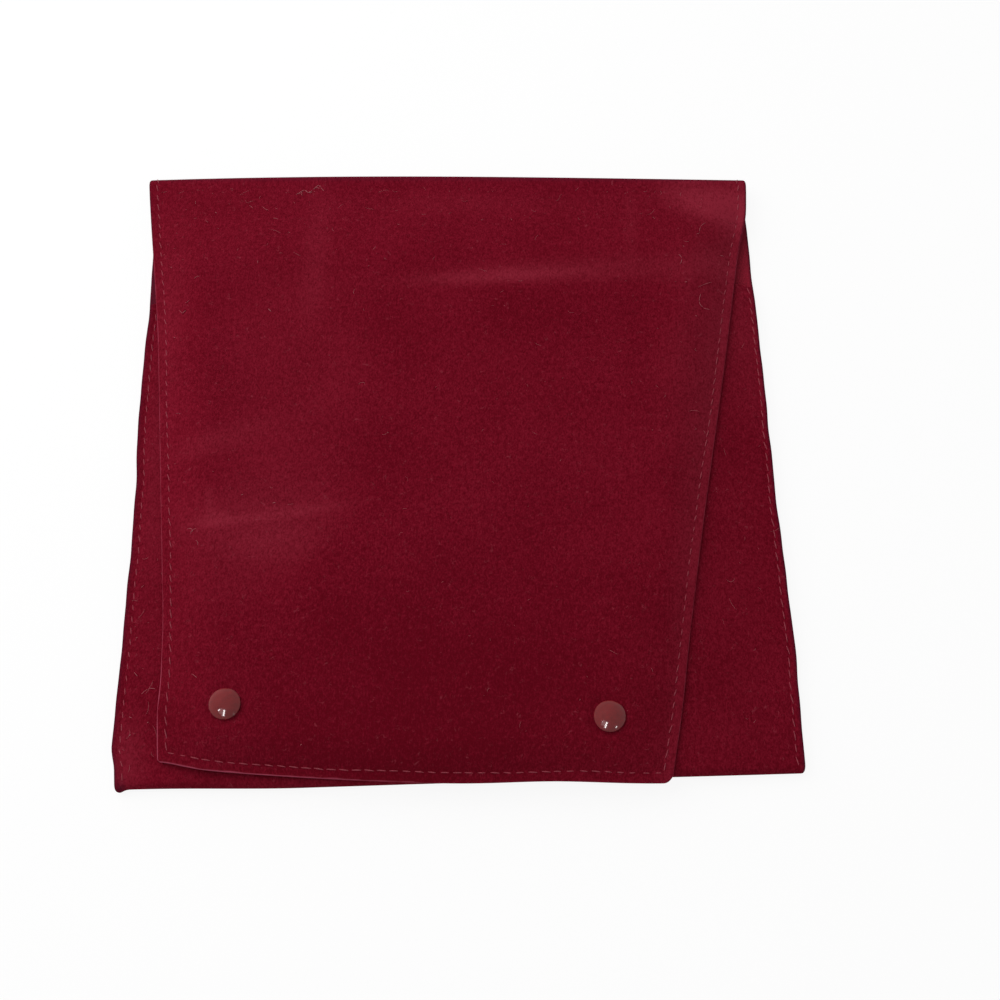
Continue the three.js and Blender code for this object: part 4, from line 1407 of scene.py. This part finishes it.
class POUCH_OT_stage(bpy.types.Operator):
    """Make the floor, the lights and the camera"""

    bl_idname = "pouch.stage"
    bl_label = "Stage"

    def execute(self, context):
        scene = context.scene
        scene.view_settings.view_transform = "Standard"
        self.floor()
        self.surroundings(scene)
        left, right = (Vector((*snap, 0.0)) for snap in PouchShape(scene.pouch_sizes).snaps)
        self.lamp("key_light", (-0.48, 0.36, 0.48), Vector(), (1.0, 1.0), 6.6).visible_glossy = False
        glints = (
            self.lamp("near_strip", (-0.17, -0.60, 0.60), Vector(), (0.09, 0.42), 4.75),
            self.lamp("soft_box", (-0.30, -0.52, 0.66), Vector(), (0.4, 0.4), 1.5),
            self.lamp("left_glint", (-0.50, -0.40, 0.615), left, (0.07, 0.22), 0.0145, 14),
            self.lamp("right_glint", (0.49, -0.64, 0.40), right, (0.12, 0.06), 0.0068, 14),
        )
        for lamp in glints:
            lamp.visible_diffuse = False
        self.camera(scene)
        return {"FINISHED"}

    def camera(self, scene):
        """A camera above the pouch's near side, as in the photograph."""
        tilt = radians(90 - CAMERA_ELEVATION)
        camera = bpy.data.cameras.new("photo_camera")
        camera.sensor_width = CAMERA_SENSOR
        camera.lens = CAMERA_LENS
        camera.clip_start = 0.01
        view = bpy.data.objects.new("photo_camera", camera)
        view.location = CAMERA_TARGET + CAMERA_DISTANCE * Vector((0.0, -sin(tilt), cos(tilt)))
        view.rotation_euler = (tilt, 0.0, 0.0)
        scene.collection.objects.link(view)
        scene.camera = view

    def lamp(self, name, place, aim, size, watts, spread=180):
        """A rectangular lamp that faces a point and shines within a spread of angles."""
        light = bpy.data.lights.new(name, "AREA")
        light.shape = "RECTANGLE"
        light.size, light.size_y = size
        light.energy = watts
        light.spread = radians(spread)
        lamp = bpy.data.objects.new(name, light)
        lamp.location = place
        lamp.rotation_euler = (aim - lamp.location).to_track_quat("-Z", "Y").to_euler()
        bpy.context.scene.collection.objects.link(lamp)
        return lamp

    def seen(self, tree):
        """1 for rays that show the surroundings to the camera, to gloss or through glass, and 0 for light."""
        rays = tree.nodes.new("ShaderNodeLightPath").outputs
        seen = calculate(tree, "MAXIMUM", rays["Is Camera Ray"], rays["Is Glossy Ray"])
        return calculate(tree, "MAXIMUM", seen, rays["Is Transmission Ray"])

    def surroundings(self, scene):
        """An even white room: dimmer as a light than it is to look at."""
        scene.world = bpy.data.worlds.new("white_room")
        scene.world.use_nodes = True
        tree = scene.world.node_tree
        room = tree.nodes["Background"]
        room.inputs["Color"].default_value = (1.0, 1.0, 1.0, 1.0)
        tree.links.new(calculate(tree, "MULTIPLY_ADD", self.seen(tree), 0.46, 0.54), room.inputs["Strength"])

    def floor(self):
        """A pale table top, seen mostly as plain white, that keeps part of the pouch's shadow."""
        side = np.array([-2.0, 2.0])
        x, y = np.meshgrid(side, side, indexing="ij")
        points = np.stack([x, y, np.full_like(x, -0.2 * MM)], -1)
        material, tree, shader = new_finish("table_white")
        paint = {"Base Color": (0.9, 0.9, 0.9, 1.0), "Roughness": 0.9, "Specular IOR Level": 0.1}
        set_shader(tree, shader, paint)
        glow = add_node(tree, "ShaderNodeEmission", {"Color": (1.0, 1.0, 1.0, 1.0), "Strength": 1.0})
        share = calculate(tree, "MULTIPLY", self.seen(tree), 0.9)
        inputs = {0: share, 1: shader.outputs[0], 2: glow.outputs[0]}
        blended = add_node(tree, "ShaderNodeMixShader", inputs)
        tree.links.new(blended.outputs[0], tree.nodes["Material Output"].inputs["Surface"])
        make_piece("table", points, [[0, 2, 3, 1]], material)


class VIEW3D_PT_pouch(bpy.types.Panel):
    """Lists the pouch's pieces, sizes and colours"""

    bl_label = "Envelope pouch"
    bl_space_type = "VIEW_3D"
    bl_region_type = "UI"
    bl_category = "Pouch"

    def draw(self, context):
        for operator in OPERATORS:
            self.layout.operator(operator.bl_idname)
        for group in (context.scene.pouch_sizes, context.scene.pouch_colours):
            column = self.layout.column()
            for name in group.bl_rna.properties.keys():
                if name not in ("rna_type", "name"):
                    column.prop(group, name)


OPERATORS = (
    POUCH_OT_body_cloth,
    POUCH_OT_flap_cloth,
    POUCH_OT_stitching,
    POUCH_OT_caps,
    POUCH_OT_stud_brass,
    POUCH_OT_lint,
    POUCH_OT_stage,
)
CLASSES = (PouchSizes, PouchColours, *OPERATORS, VIEW3D_PT_pouch)


def register():
    """Registers the classes and gives every scene the pouch's sizes and colours."""
    for each in CLASSES:
        bpy.utils.register_class(each)
    bpy.types.Scene.pouch_sizes = bpy.props.PointerProperty(type=PouchSizes)
    bpy.types.Scene.pouch_colours = bpy.props.PointerProperty(type=PouchColours)


def unregister():
    """Takes back what register did."""
    del bpy.types.Scene.pouch_colours
    del bpy.types.Scene.pouch_sizes
    for each in reversed(CLASSES):
        bpy.utils.unregister_class(each)


def main():
    """Makes every piece and the stage."""
    register()
    bpy.ops.pouch.body_cloth()
    bpy.ops.pouch.flap_cloth()
    bpy.ops.pouch.stitching()
    bpy.ops.pouch.caps()
    bpy.ops.pouch.stud_brass()
    bpy.ops.pouch.lint()
    bpy.ops.pouch.stage()


if __name__ == "__main__":
    main()
